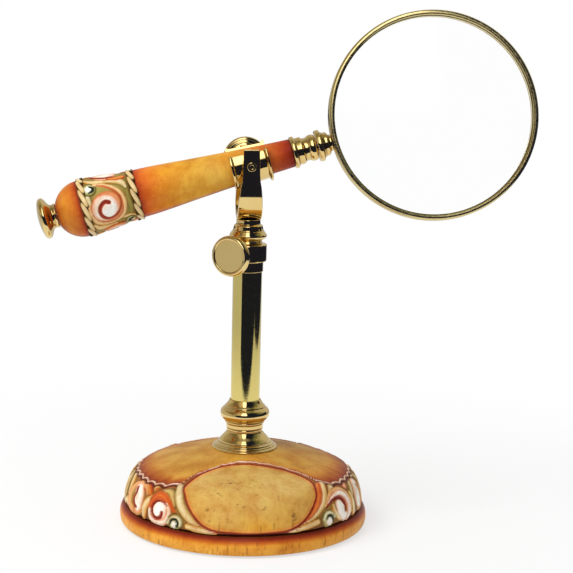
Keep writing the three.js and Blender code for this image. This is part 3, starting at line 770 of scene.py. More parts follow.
def rope_tree():
    """Lays leaning strands around a circle, each one stretched from a ball with blunted ends"""
    nodes = GeometryTree("Rope Moulding")
    nodes.size("Radius", "NodeSocketFloat", 0.014)
    nodes.size("Strands", "NodeSocketInt", 13)
    nodes.size("Strand Length", "NodeSocketFloat", 0.008)
    nodes.size("Strand Width", "NodeSocketFloat", 0.0026)
    nodes.size("Strand Rise", "NodeSocketFloat", 0.0022)
    nodes.size("Lean", "NodeSocketFloat", 0.5)
    nodes.size("Start Turn", "NodeSocketFloat", 0.0)
    nodes.size("Finish", "NodeSocketMaterial")
    start = nodes.start.outputs
    ball = nodes.add("GeometryNodeMeshUVSphere", {"Segments": 20, "Rings": 12, "Radius": 1.0})
    place = nodes.add("GeometryNodeInputPosition").outputs[0]
    x, y, z = nodes.add("ShaderNodeSeparateXYZ", {0: place}).outputs
    # The crest, how far each point of a strand stands out, is what the rope's painted shade follows
    crested = nodes.store(ball.outputs["Mesh"], "crest", nodes.math("MAXIMUM", z, 0.0))
    fuller = nodes.combined(nodes.blunted(x, 0.8), y, nodes.blunted(z, 0.62))
    strand = nodes.add("GeometryNodeSetPosition", {"Geometry": crested, "Position": fuller})
    index = nodes.add("GeometryNodeInputIndex").outputs[0]
    share = nodes.math("DIVIDE", index, start["Strands"])
    turn = nodes.math("ADD", nodes.math("MULTIPLY", share, math.tau), start["Start Turn"])
    spot = nodes.around(start["Radius"], turn)
    spots = nodes.add("GeometryNodePoints", {"Count": start["Strands"], "Position": spot})
    outward = nodes.add("GeometryNodeInputPosition").outputs[0]
    stand = nodes.add(
        "FunctionNodeAlignRotationToVector", {"Vector": outward}, axis="Z", pivot_axis="AUTO"
    )
    level = nodes.add(
        "FunctionNodeAlignRotationToVector",
        {"Rotation": stand.outputs[0], "Vector": (0.0, 0.0, 1.0)},
        axis="Y",
        pivot_axis="Z",
    )
    leaning = nodes.add(
        "FunctionNodeRotateRotation",
        {"Rotation": level.outputs[0], "Rotate By": nodes.combined(z=start["Lean"])},
        rotation_space="LOCAL",
    )
    halves = [nodes.math("DIVIDE", start["Strand " + way], 2.0) for way in ("Length", "Width", "Rise")]
    laid = nodes.add(
        "GeometryNodeInstanceOnPoints",
        {
            "Points": spots.outputs[0],
            "Instance": strand.outputs[0],
            "Rotation": leaning.outputs[0],
            "Scale": nodes.combined(*halves),
        },
    )
    nodes.finish(laid.outputs[0])
    return nodes.tree


def run_tree(item, tree, values):
    """Runs a tree on an object with the given named inputs, and returns the plain mesh"""
    modifier = item.modifiers.new("Build", "NODES")
    modifier.node_group = tree
    for socket in tree.interface.items_tree:
        if socket.item_type == "SOCKET" and socket.in_out == "INPUT" and socket.name in values:
            modifier[socket.identifier] = values[socket.name]
    return plain_mesh(item)


def node_tree(name, make):
    """The tree of that name, made on first use"""
    return bpy.data.node_groups.get(name) or make()


def turned_piece(name, points, closed, sides, material, reach=0.6, place=None):
    """A round piece turned from an outline in millimetres and set in its place"""
    outline = softened(points, reach, closed)
    mesh = bpy.data.meshes.new(name)
    mesh.from_pydata([(r * MM, 0, h * MM) for r, h, bulge in outline], [], [])
    wear = mesh.attributes.new("wear", "FLOAT", "POINT")
    wear.data.foreach_set("value", [bulge for r, h, bulge in outline])
    item = bpy.data.objects.new(name, mesh)
    bpy.context.scene.collection.objects.link(item)
    tree = node_tree("Turned Piece", turning_tree)
    values = {"Sides": sides, "Closed Outline": int(closed), "Finish": material}
    item = run_tree(item, tree, values)
    if place is not None:
        item.data.transform(place)
    item.data.update()
    return item


# Places of the pieces that don't stand upright


def turn_x(angle):
    return Matrix.Rotation(angle, 4, "X")


def turn_y(angle):
    return Matrix.Rotation(angle, 4, "Y")


def pivot_place():
    """The height of the pivot's middle above the table, in metres"""
    low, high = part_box("pivot_washer_front")
    return (low.z + high.z) / 2


def cradle_frame(scene):
    """X runs along the handle, from the pivot to the lens"""
    tilt = scene.handle_settings.tilt
    return Matrix.Translation((0, 0, pivot_place())) @ turn_y(-tilt)


def handle_frame(scene):
    """Z of a piece that was turned upright runs along the handle, from the pivot to the lens"""
    return cradle_frame(scene) @ turn_x(scene.handle_settings.roll) @ turn_y(math.pi / 2)


# The lens's middle along the handle, in millimetres from the pivot
LENS_PLACE = 95.05
# The thumbscrew's turn about the column, from the front to the left
THUMBSCREW_TURN = math.radians(-34)


def lens_frame(scene):
    """Z of a turned piece runs along the lens's axis towards the front"""
    roll = scene.handle_settings.roll
    along = Matrix.Translation((LENS_PLACE * MM, 0, 0))
    return cradle_frame(scene) @ turn_x(roll) @ along @ turn_x(math.pi / 2)


def thumbscrew_frame():
    """Z of a turned piece runs out of the collar, to the left of the front"""
    low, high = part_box("thumbscrew")
    up = Matrix.Translation((0, 0, (low.z + high.z) / 2))
    left = Matrix.Rotation(THUMBSCREW_TURN, 4, "Z")
    return up @ left @ turn_x(math.pi / 2)


# Painting and carving of a turned surface


class Carving:
    """The carved skin of a turned form: a grid of angles around it and places along it, with the height of
    the relief in millimetres and the colour at each point, its stain with painted shade and highlights in
    places"""

    def __init__(self, skin, columns):
        """Takes the bare skin's radii and places along its axis, and the count of columns"""
        self.angles = np.arange(columns) * 360 / columns
        # A millionth of a millimetre keeps the places rising where two are the same
        self.places = skin[:, 1] + np.arange(len(skin)) * 1e-6
        self.radii = skin[:, 0]
        steps = np.hypot(np.diff(self.places), np.diff(self.radii))
        self.lengths = np.concatenate([[0], np.cumsum(steps)])
        self.colour = np.zeros((columns, len(skin), 3))
        self.height = np.zeros((columns, len(skin)))

    def flat(self, points, middle):
        """Points as millimetres across and along the surface, near one angle"""
        points = np.asarray(points, float)
        radius = np.interp(points[:, 1], self.places, self.radii)
        along = np.interp(points[:, 1], self.places, self.lengths)
        return np.stack([np.radians(points[:, 0] - middle) * radius, along], 1)

    def near(self, middle, span):
        """The columns within span degrees of an angle, and where their points lie"""
        offset = (self.angles - middle + 180) % 360 - 180
        columns = np.nonzero(np.abs(offset) <= span)[0]
        x = np.radians(offset[columns])[:, None] * self.radii[None, :]
        y = np.broadcast_to(self.lengths[None, :], x.shape)
        return columns, x, y

    def run(self, points, widths, closed=False):
        """The columns near a line, and for each of their points its distance from the line as a share
        of the line's half width there, how far along the line it is, and the distance in millimetres.
        The smoothed line itself and the places of the points follow."""
        points = [tuple(p) for p in points]
        middle = (min(p[0] for p in points) + max(p[0] for p in points)) / 2
        spread = max(p[0] for p in points) - middle
        line = smooth_line(self.flat(points, middle), closed)
        reach = np.degrees(max(widths) * 1.6 / self.radii.min()) + 1
        columns, x, y = self.near(middle, spread + reach)
        width = np.interp(np.linspace(0, 1, len(line)), np.linspace(0, 1, len(widths)), widths)
        share = np.full(x.shape, 1e9)
        along = np.zeros(x.shape)
        distance = np.full(x.shape, 1e9)
        for k in range(len(line) - 1):
            a, b = line[k], line[k + 1]
            d = b - a
            t = np.clip(((x - a[0]) * d[0] + (y - a[1]) * d[1]) / max(d @ d, 1e-9), 0, 1)
            gap = np.hypot(x - a[0] - t * d[0], y - a[1] - t * d[1])
            local = gap / (width[k] * (1 - t) + width[k + 1] * t)
            closer = local < share
            share = np.where(closer, local, share)
            along = np.where(closer, (k + t) / (len(line) - 1), along)
            distance = np.minimum(distance, gap)
        return columns, share, along, distance, line, x, y

    def lay(self, columns, cover, colour, height, add=False):
        """Covers the surface with a colour and a height, by a share from 0 to 1. With add the height
        goes on top of what is there, in place of taking over from it."""
        self.colour[columns] += cover[..., None] * (colour - self.colour[columns])
        if add:
            self.height[columns] += cover * height
        else:
            self.height[columns] += cover * (height - self.height[columns])

    def stroke(self, points, widths, tones, rise, end_tones=None, sunk=False, strength=1.0):
        """A rounded raised line, or with sunk a line that is cut in"""
        columns, share, along, _, _, _, _ = self.run(points, widths)
        soft = min(0.45, 0.3 / max(widths))
        cover = strength * (1 - ease((share - (1 - soft)) / (2 * soft)))
        colour = tone(tones, share)
        if end_tones:
            colour = painted_over(colour, tone(end_tones, share), along)
        round_top = np.sqrt(np.clip(1 - np.clip(share, 0, 1) ** 2, 0, 1))
        if sunk:
            self.lay(columns, cover, colour, -rise * round_top, add=True)
        else:
            self.lay(columns, cover, colour, rise * round_top)

    def button(self, centre, radius, tones, rise):
        """A round, domed form"""
        here = [centre, (centre[0] + 0.01, centre[1])]
        self.stroke(here, [radius, radius], tones, rise)

    def carve(self, strokes, shift, relief):
        """Works through a table of strokes, turned round the piece by an angle"""
        for points, widths, paint, rise, *end_paint in strokes:
            points = turned_by(points, shift)
            if len(points) == 1:
                self.button(points[0], widths[0], paint, rise * relief)
            else:
                self.stroke(points, widths, paint, abs(rise) * relief, *end_paint, sunk=rise < 0)

    def panel(self, outline, colour, line_width, height):
        """A flat panel inside a closed line, which is cut in and painted dark red, with a painted highlight
        just inside it. The panel's own colour is a function of the places across and along."""
        columns, _, _, distance, line, x, y = self.run(outline, [3.0], closed=True)
        inside = np.zeros(x.shape, bool)
        for a, b in zip(line[:-1], line[1:]):
            if a[1] == b[1]:
                continue
            crosses = (a[1] > y) != (b[1] > y)
            inside ^= crosses & (x < (b[0] - a[0]) * (y - a[1]) / (b[1] - a[1]) + a[0])
        signed = np.where(inside, distance, -distance)
        cover = ease(signed / 0.5 + 0.5)
        near = 0.6 * (1 - ease((signed - line_width) / 2.0))
        self.lay(columns, cover, painted_over(colour(x, y), ORANGE, near), height)
        edge = 1 - ease((np.abs(signed) - line_width * 0.5) / 0.5)
        dark = tone([(0, DARK_RED), (1, RED_ORANGE)], np.clip(signed / line_width, 0, 1))
        self.lay(columns, 0.92 * edge, dark, -0.25)
        # Painted highlight: a thin bright line along the panel's edge, just inside the cut line
        panel_highlight = 1 - ease((np.abs(signed - line_width * 1.35) - 0.12) / 0.36)
        self.lay(columns, 0.75 * panel_highlight, EDGE_HIGHLIGHT, height)


def ease(value):
    """A smooth step from 0 to 1"""
    value = np.clip(value, 0, 1)
    return value * value * (3 - 2 * value)


def tone(stops, share):
    """Colours between painted stops at shares from 0 to 1"""
    places = [s[0] for s in stops]
    return np.stack([np.interp(share, places, [s[1][k] for s in stops]) for k in range(3)], -1)


def painted_over(under, over, share):
    """Colours with others laid over them, by a share from 0 to 1"""
    return under + share[..., None] * (over - under)


def turned_by(points, shift):
    """Points of the carving, turned round it by an angle"""
    return [(angle + shift, place) for angle, place in points]


def smooth_line(points, closed, step=0.6):
    """A smooth line through points, in steps of about the given length"""
    points = np.asarray(points, float)
    if closed:
        points = np.vstack([points[-1], points, points[0], points[1]])
    else:
        points = np.vstack([2 * points[0] - points[1], points, 2 * points[-1] - points[-2]])
    line = []
    for k in range(1, len(points) - 2):
        p0, p1, p2, p3 = points[k - 1 : k + 3]
        count = max(1, int(np.hypot(*(p2 - p1)) / step))
        for t in np.arange(count) / count:
            line.append(
                0.5 * (2 * p1 + (p2 - p0) * t + (2 * p0 - 5 * p1 + 4 * p2 - p3) * t * t
                       + (3 * p1 - p0 - 3 * p2 + p3) * t ** 3)
            )
    line.append(points[-2])
    return np.array(line)


def carved_object(name, carving, extra, material, around_x):
    """The carved skin as a closed mesh, joined to the plain extra rows that close the form behind it.
    Angles count from -Y towards +X on the base, and from the front upwards on the handle."""
    places, radii = carving.places, carving.radii
    slope = np.gradient(np.stack([radii, places], 1), axis=0)
    slope /= np.hypot(slope[:, 0], slope[:, 1])[:, None]
    outward = np.stack([slope[:, 1], -slope[:, 0]], 1)
    radius = radii[None, :] + carving.height * outward[None, :, 0]
    place = places[None, :] + carving.height * outward[None, :, 1]
    columns = len(carving.angles)
    back = np.array(extra, float)
    radius = np.hstack([radius, np.broadcast_to(back[:, 0], (columns, len(back)))])
    place = np.hstack([place, np.broadcast_to(back[:, 1], (columns, len(back)))])
    angle = np.radians(carving.angles)[:, None]
    if around_x:
        x, y = -radius * np.sin(angle), -radius * np.cos(angle)
    else:
        x, y = radius * np.sin(angle), -radius * np.cos(angle)
    points = np.stack([x, y, place], -1).reshape(-1, 3) * MM
    faces = grid_faces(columns, radius.shape[1], wrap_rows=True)
    if around_x:
        faces = faces[:, ::-1]
    item = mesh_object(name, points, faces, material)
    # The paint is the stain with its painted shade and highlights in places
    plain = np.broadcast_to(carving.colour[:, -1:, :], (columns, len(back), 3))
    stain = linear(np.concatenate([carving.colour, plain], 1)).reshape(-1, 3)
    paint = item.data.attributes.new("paint", "FLOAT_COLOR", "POINT")
    paint.data.foreach_set("color", np.hstack([stain, np.ones((len(stain), 1))]).ravel())
    return item


# Base

# The felt's thickness, the radius of the tie rod's hole, and the radius and the ceiling's height of the
# pocket in the underside, in millimetres
FELT = 1.0
TIE_ROD_HOLE = 3.1
POCKET_RADIUS, POCKET_CEILING = 11.0, 10.0
# Where the dome's fine rows for the carving end, as a height in millimetres
CARVING_TOP = 37.4
# The line cut round the oval panel and the panel's rise, in millimetres
PANEL_LINE, PANEL_RISE = 0.75, 0.3
# Degrees from one scallop of the wavy moulding to the next, and the angle from the panel's middle at
# which the scallops take over from the ripples
SCALLOP, SCALLOPS_FROM = 7.3, 38
# How many dark streaks run down the plinth
STREAKS = 190

# Outlines of the plinth and the dome, as shares of a radius and a height
PLINTH = [(0.984, 0), (0.993, 0.1), (0.999, 0.28), (1, 0.48), (0.995, 0.68), (0.983, 0.86), (0.968, 1)]
DOME = [
    (1, 0), (0.997, 0.102), (0.983, 0.248), (0.958, 0.394), (0.917, 0.529),
    (0.847, 0.639), (0.748, 0.726), (0.598, 0.828), (0.432, 0.923), (0.285, 1),
]

# The oval panel's edge, and the wavy moulding's height on the way round, both as an angle from the
# front towards +X and a height above the table
PANEL_EDGE = [
    (-39.4, 30.4), (-39.2, 28.5), (-36.1, 26.3), (-33.6, 23.7), (-30.4, 20.2), (-27.1, 16.9), (-23.8, 14.4),
    (-20.2, 12.8), (-15.5, 12.0), (-7, 11.6), (0, 11.5), (7, 11.6), (14.7, 11.9), (20, 13.3), (24.3, 15.5),
    (28.3, 18.7), (31.8, 22.2), (34.9, 25.2), (37.3, 27.7), (39.4, 29.8), (38.6, 31.6), (35.0, 33.2),
    (29.4, 34.5), (22, 35.3), (13.6, 35.9), (-0.6, 36.4), (-17.3, 36.1), (-25, 35.6), (-30.3, 34.9),
    (-34.8, 33.9), (-37.9, 32.6),
]
MOULDING = [
    (-90, 27), (-62, 27.2), (-52, 27.9), (-47, 28.8), (-43, 29.8), (-42.4, 30.9), (-41.4, 32),
    (-39.8, 32.9), (-34.8, 34.4), (-26.8, 35.9), (-11, 37.0), (6, 36.9), (21.8, 36.1), (31.9, 34.9),
    (39.3, 33), (41.8, 31.8), (43.6, 30.6), (47.9, 28.8), (54.5, 27.6), (66, 27.3), (90, 27),
]

# The scrolls and leaves beside the oval panel, as strokes. Each has its points in the same measures,
# its half widths in millimetres, its paint, its rise as a share of the relief, which is below 0 where
# it is cut in, and its paint at the far end where that is another. One point makes a round button.
LEFT_SCROLLS = [
    ([(-92, 26), (-87.5, 22), (-86, 16), (-88, 11.6)], [0.9, 2.6, 2.6, 1.4], GREEN_LEAF, 0.7),
    ([(-83.5, 26), (-80.5, 23), (-79, 18)], [1.8, 2.6, 1.6], LEAF, 0.7),
    ([(-84, 12.4), (-80, 14.5), (-77.5, 13)], [1.6, 2, 1], PETAL, 0.7),
    ([(-70, 25.9), (-65, 25.4), (-60.5, 24.6), (-56.6, 22.6)], [1.2, 2.3, 2.4, 1.2], FLAME, 0.7),
    ([(-49.5, 25.8), (-45.2, 26.2), (-42.2, 24.6), (-39.6, 20.6)], [1.2, 2.4, 2.2, 1.1], DULL_LEAF, 0.7),
    ([(-55.3, 26.0)], [1.9], LEAF, 0.7),
    ([(-54.7, 25.7)], [0.8], FLAME, 0.7),
    ([(-41.6, 28.6), (-39.1, 25.8), (-36.4, 22.2), (-33.2, 18.9), (-29.8, 16.2), (-25.7, 14.0),
      (-20.6, 12.2)], [2.2, 2.6, 2.6, 2.4, 2.0, 1.4, 0.5], GREEN_LEAF, 0.8, LEAF),
    ([(-31.2, 12.9), (-26.2, 12.4), (-22, 12.0), (-17, 11.6)], [1.6, 1.7, 1.3, 0.5], LEAF, 0.8, PETAL),
    ([(-59.6, 22.6), (-62.8, 25.0), (-68.2, 25.4), (-72.9, 23.8), (-75.9, 20.5), (-76.4, 16.4),
      (-73.4, 12.9), (-67.5, 12.0), (-62.0, 13.6), (-60.2, 17.6)],
      [0.8, 1.2, 1.5, 1.7, 2.1, 2.3, 2.1, 1.7, 1.5, 1.2], HALO, 0.85),
    ([(-68.4, 22.2), (-66.4, 19.4), (-65.2, 16.4)], [3.6, 4.7, 4.0], BLOSSOM, 1),
    ([(-69.6, 22.6), (-69.2, 20.6), (-70.6, 18.5), (-70.4, 16.4), (-68.4, 15.0), (-65.4, 14.6)],
      [1.5, 1.3, 1.8, 1.9, 1.2, 0.6], HOOK, -0.55),
    ([(-54.0, 22.4), (-57.4, 19.6), (-59.2, 16.2), (-58.6, 12.6)], [1.6, 2.5, 2.7, 2.0], LEAF, 0.8, PETAL),
    ([(-54.4, 17.0), (-53.6, 21.2), (-50.6, 23.8), (-46.4, 23.3), (-42.5, 21.2), (-38.8, 18.4)],
      [1.6, 2.2, 2.4, 2.2, 1.7, 0.8], RED_LEAF, 0.85),
    ([(-44.4, 20.9), (-42.2, 18.6), (-42.2, 15.4), (-44.6, 12.6), (-48.6, 11.9), (-53.0, 12.9),
      (-54.6, 16.4)], [0.9, 1.3, 1.6, 1.7, 1.6, 1.6, 1.2], RIM, 0.9),
    ([(-47.9, 17.6)], [4.9], BLOSSOM, 1),
    ([(-46.0, 16.7), (-46.6, 14.6), (-49.2, 13.5), (-51.8, 14.4), (-53.2, 16.8), (-52.7, 19.4),
      (-50.6, 21.3), (-47.4, 21.7), (-43.6, 20.2)], [1.0, 0.95, 0.9, 0.85, 0.75, 0.6, 0.5, 0.4, 0.3],
      HOOK, -0.55),
    ([(-38.2, 13.9)], [4.1], GREEN_LEAF, 0.8),
    ([(-42.0, 12.6), (-40.4, 15.2), (-37.3, 16.4), (-35.0, 14.8), (-34.9, 12.6)],
      [0.7, 0.9, 1.05, 1.05, 0.8], GREEN_RIM, 0.95),
    ([(-38.2, 13.1)], [2.2], WHITE_BUD, 1),
    ([(-40.6, 12.4), (-39.8, 14.7), (-37.3, 15.0), (-36.2, 13.3), (-36.9, 11.9)],
      [0.5, 0.6, 0.75, 0.8, 0.6], STEM, -0.5),
]
RIGHT_SCROLLS = [
    ([(89, 24), (87, 20), (86, 15), (87.5, 11.8)], [1.4, 2.4, 2.4, 1.4], LEAF, 0.7),
    ([(75.8, 26.2), (79.2, 26.0), (82.1, 23.0), (81.2, 18.2), (79.4, 13)], [1.0, 1.6, 1.8, 1.9, 1.4],
      GREEN_LEAF, 0.7),
    ([(44.0, 28.8), (39.6, 25.4), (35.9, 21.7), (31.4, 18.2), (26.9, 15.8), (22.9, 14.3)],
      [2.3, 2.8, 2.7, 2.2, 1.6, 0.6], LEAF, 0.8),
    ([(41.7, 29.0), (37.6, 25.7), (34.4, 22.4), (30.4, 19.2), (26.3, 16.6), (23.2, 15.0)],
      [1.3, 1.6, 1.6, 1.3, 1.0, 0.4], RED_STEM, 0.85, FLAME),
    ([(32.4, 14.3), (27.1, 13.3), (21.4, 12.4), (15.6, 11.7)], [1.7, 1.8, 1.3, 0.5], LEAF, 0.8, PETAL),
    ([(48.6, 27.4), (46.2, 25.8), (43.4, 23.4)], [1.9, 1.9, 0.9], GREEN_LEAF, 0.7, PETAL),
    ([(59.2, 25.5)], [2.2], PINK_BUD, 0.7),
    ([(66.4, 25.4), (64.2, 22.4), (62.6, 19.6)], [1.6, 1.9, 1.0], GREEN_LEAF, 0.7),
    ([(61.0, 22.0), (61.6, 17.4), (60.8, 12.4)], [1.2, 2.0, 1.7], LEAF, 0.8, PETAL),
    ([(74.4, 24.4), (76.9, 20.5), (76.4, 15.6), (72.6, 12.2), (67.6, 12.6)], [1.2, 1.6, 1.8, 1.7, 1.2],
      HALO, 0.85),
    ([(71.8, 23.0), (70.6, 19.6), (70.2, 15.8)], [3.8, 4.8, 4.0], BLOSSOM, 1),
    ([(72.6, 22.6), (73.4, 20.8)], [0.9, 0.7], INK, -0.5),
    ([(74.6, 18.0), (74.0, 15.8), (71.2, 14.4)], [0.5, 0.8, 0.9], HOOK, -0.55),
    ([(38.6, 20.6), (41.6, 23.4), (46.6, 25.4), (52.4, 25.4), (56.6, 23.0), (58.6, 18.4), (57.6, 13.8)],
      [0.6, 1.1, 1.3, 1.4, 1.5, 1.5, 1.1], HALO, 0.8, LEAF),
    ([(40.8, 21.4), (46.4, 23.6), (51.9, 23.8), (55.1, 21.8), (56.6, 18.4), (56.4, 15.2), (54.4, 12.6),
      (50.4, 11.9)], [0.9, 1.3, 1.5, 1.7, 1.8, 1.8, 1.7, 1.4], RIM, 0.9),
    ([(43.8, 19.8), (44.3, 16.6), (47.2, 12.9)], [1.2, 1.8, 1.2], LEAF, 0.85, PETAL),
    ([(48.4, 19.2), (49.4, 16.6), (50.6, 14.0)], [2.8, 3.7, 3.2], BLOSSOM, 1),
    ([(39.0, 19.8), (43.5, 22.0), (48.9, 22.5), (52.2, 21.1), (53.8, 18.4), (52.2, 16.0)],
      [0.5, 0.75, 0.95, 1.1, 1.15, 1.1], HOOK, -0.55),
    ([(39.0, 14.2)], [4.3], GREEN_LEAF, 0.8),
    ([(35.9, 14.6), (38.0, 17.2), (41.2, 17.0), (43.7, 14.6)], [0.6, 0.9, 1.0, 0.8], GREEN_RIM, 0.95),
    ([(39.6, 13.3)], [2.2], WHITE_BUD, 1),
    ([(38.0, 14.6), (39.4, 16.0), (41.7, 15.2), (42.4, 12.9)], [0.45, 0.75, 0.8, 0.7], STEM, -0.5),
]


def above_moulding(carving, angle):
    """How far each point lies above the wavy moulding, along the surface"""
    folded = (angle + 90) % 180 - 90
    line = np.interp(folded, [m[0] for m in MOULDING], [m[1] for m in MOULDING])
    beside = ease((np.abs(folded) - SCALLOPS_FROM) / 6)
    turn = np.radians(180 * folded / SCALLOP)
    scallop = np.abs(np.sin(turn)) - 0.55
    ripple = 0.5 * np.sin(2 * turn) * (0.6 + 0.4 * np.sin(np.radians(folded * 13)))
    swing = beside * 1.35 * scallop + (1 - beside) * 0.7 * ripple
    return carving.lengths - np.interp(line, carving.places, carving.lengths) - swing


def base_rows(settings):
    """The plinth's outline from its foot up, the groove's radius, and the dome's outline up to the
    crown, in fine rows where it is carved and in a few above"""
    radius, inset = settings.radius / MM, settings.dome_inset / MM
    top, width = settings.plinth_top / MM, settings.groove_width / MM
    plinth = scaled(PLINTH, radius, top - FELT, FELT)
    rise = settings.crown / MM - top - width
    dome = smooth_line(scaled(DOME, radius - inset, rise, top + width), False, 0.2)
    groove = radius - inset - settings.groove_depth / MM
    lower = softened([(POCKET_RADIUS, FELT), *plinth, (groove, top)], 0.5, False)[1:-1]
    lower = np.array([(r, h) for r, h, _ in lower])
    lengths = np.concatenate([[0], np.cumsum(np.hypot(*np.diff(dome, axis=0).T))])
    middle = np.interp(CARVING_TOP, dome[:, 1], lengths)
    fine, coarse = np.linspace(0, middle, 98, endpoint=False), np.linspace(middle, lengths[-1], 6)
    stops = np.concatenate([fine, coarse])
    upper = np.stack([np.interp(stops, lengths, dome[:, 0]), np.interp(stops, lengths, dome[:, 1])], 1)
    return lower, groove, upper


# Scratches in the stain as places on the base, in degrees and mm, and flecks as groups, each with its
# middle in degrees and mm, its spread both ways and its count
SCRATCHES = [
    [(19.8, 20.4), (18.9, 18.0), (18.4, 12.6)],
    [(-15.5, 16.8), (-15.8, 12.2)],
    [(-12.0, 18.5), (-12.2, 15.2)],
    [(3.2, 15.8), (3.4, 12.6)],
    [(9.5, 16.5), (9.7, 13.4)],
    [(13.5, 27.6), (13.8, 25.4)],
]
FLECKS = [
    (-13.0, 31.0, 4.0, 0.8, 26), (-17.5, 28.0, 2.6, 0.8, 10), (0.5, 31.8, 3.0, 0.7, 12),
    (19.0, 19.0, 0.9, 1.3, 16), (21.0, 14.5, 1.2, 1.6, 6), (-22.0, 20.0, 1.8, 2.2, 6),
    (-9.0, 24.0, 8.0, 3.0, 7), (8.0, 22.0, 9.0, 4.0, 7), (15.0, 36.6, 3.0, 0.25, 8),
]


class MAGNIFIER_OT_base(bpy.types.Operator):
    """Makes the carved and stained base, with its plinth, groove, dome, panels and scrolls"""

    bl_idname = "magnifier.base"
    bl_label = "Carved Base"

    def execute(self, context):
        settings = context.scene.base_settings
        lower, groove, upper = base_rows(settings)
        top = settings.plinth_top / MM
        floor = np.array([(groove, top + 0.05), (groove, top + settings.groove_width / MM - 0.05)])
        carving = Carving(np.vstack([lower, floor, upper]), settings.columns)
        self.stain(carving, top)
        for shift in (0, 180):
            carving.carve(LEFT_SCROLLS + RIGHT_SCROLLS, shift, settings.relief / MM)
            edge = turned_by(PANEL_EDGE, shift)
            carving.panel(edge, self.panel_stain, PANEL_LINE, PANEL_RISE)
            self.marks(carving, shift)
        self.moulding(carving)
        foot = lower[0, 0]
        back = [
            (TIE_ROD_HOLE, upper[-1, 1]), (TIE_ROD_HOLE, POCKET_CEILING), (POCKET_RADIUS, POCKET_CEILING),
            (POCKET_RADIUS, FELT), (foot - 2, FELT), (foot - 0.3, FELT),
        ]
        item = carved_object("carved_base", carving, back, stained_wood("stained base"), False)
        sharpen(item, 38)
        hand_over(item, "stand", "stained", "base_body")
        return {"FINISHED"}

    def stain(self, carving, top):
        """Ground colours of the dome, the scroll band and the plinth, with painted shade at the band's foot
        and under the moulding, at the plinth's top and in the groove, and the dark streaks in the plinth"""
        angle, place = np.meshgrid(carving.angles, carving.places, indexing="ij")
        above = above_moulding(carving, angle)
        folded = np.abs((angle + 90) % 180 - 90)
        reach = 2.2 + 11.5 * ease((folded - 33) / 12)
        drift = 0.5 + 0.5 * np.sin(np.radians(angle * 3 + 60)) * np.cos(np.radians(angle * 2 + above * 9))
        reach = reach * (0.75 + 0.5 * drift) * (1 - 0.25 * ease(angle / 20))
        edge = tone(DOME_EDGE_STAIN, np.clip(above / reach, 0, 1))
        over = painted_over(edge, tone(DOME_STAIN, drift), ease((above - reach) / 8))
        # Painted shade: the band darkens at its foot by the groove and towards the moulding over it
        band = tone(BAND_STAIN_AND_SHADE, np.clip((place - top) / 17, 0, 1))
        under = np.where(above[..., None] > 0, over, band)
        down = top - place
        blotch = 0.5 + 0.5 * np.sin(np.radians(angle * 5 + 40)) * np.cos(np.radians(angle * 3))
        # Painted shade: the plinth is darkest at its top under the groove and pales further down
        plinth = tone(PLINTH_STAIN_AND_SHADE, np.clip(down / 8.5, 0, 1))
        plinth = painted_over(plinth, tone(PLINTH_BLOTCH, blotch), 0.5 * ease((down - 2.5) / 3))
        colour = np.where((place <= top - 0.02)[..., None], plinth, under)
        # The groove's rows take one dark colour, painted shade in its hollow
        floor = carving.radii[carving.places.searchsorted(top + 0.05)]
        inside = (np.abs(carving.radii - floor) < 0.01) & (carving.places < top + 1.2)
        carving.colour[:] = np.where(inside[None, :, None], GROOVE_SHADE, colour)
        chance = np.random.default_rng(7)
        for column in chance.integers(0, len(carving.angles), STREAKS):
            start = chance.uniform(3.0, top - 0.6)
            end = max(1.0, start - chance.uniform(1.5, 6.0))
            cover = ease((carving.places - end) / 0.8) * ease((start - carving.places) / 1.6)
            cover = (chance.uniform(0.08, 0.42) * cover)[:, None]
            carving.colour[column] += cover * (STREAK - carving.colour[column])

    def moulding(self, carving):
        """The pale wavy line, with a dark line cut below it that is painted as its shadow, and a thin one
        above
        """
        angle = np.broadcast_to(carving.angles[:, None], carving.height.shape)
        above = above_moulding(carving, angle)
        columns = np.arange(len(carving.angles))
        folded = np.abs((angle + 90) % 180 - 90)
        # Painted shadow of the moulding: a dark band just under the raised line, wider and darker away from
        # the panel
        deep = 0.8 + 0.9 * ease((folded - SCALLOPS_FROM) / 8)
        below = ease((above + deep + 0.5) / 0.5) * (1 - ease((above + 0.2) / 0.4))
        dark = tone([(0, MAROON), (1, DARK_RED)], 1 - ease((folded - 36) / 8))
        carving.lay(columns, 0.9 * below, dark, -0.2)
        ridge = 1 - ease((np.abs(above) - 0.3) / 0.42)
        pale = tone([(0, PALE), (0.6, PINK), (1, SALMON)], np.clip(np.abs(above) / 0.6, 0, 1))
        carving.lay(columns, ridge, pale, 0.42)
        lip = ease((above - 0.3) / 0.4) * (1 - ease((above - 0.6) / 0.9))
        carving.lay(columns, 0.6 * lip, MAROON, 0.0)

    def panel_stain(self, x, y):
        """The oval panel's stain, warmer at its foot and paler in its middle"""
        high = np.clip((y - y.min()) / (y.max() - y.min()), 0, 1)
        cloud = np.sin(x / 5 + 1.3) * np.sin(y / 4 + x / 9) * 0.5 + 0.5
        stain = painted_over(tone(PANEL_STAIN, high), PANEL_CLOUD, 0.45 * cloud)
        glow = np.exp(-((x - 5) ** 2) / 90 - ((high - 0.16) ** 2) / 0.014)
        return painted_over(stain, PANEL_GLOW, 0.8 * glow)

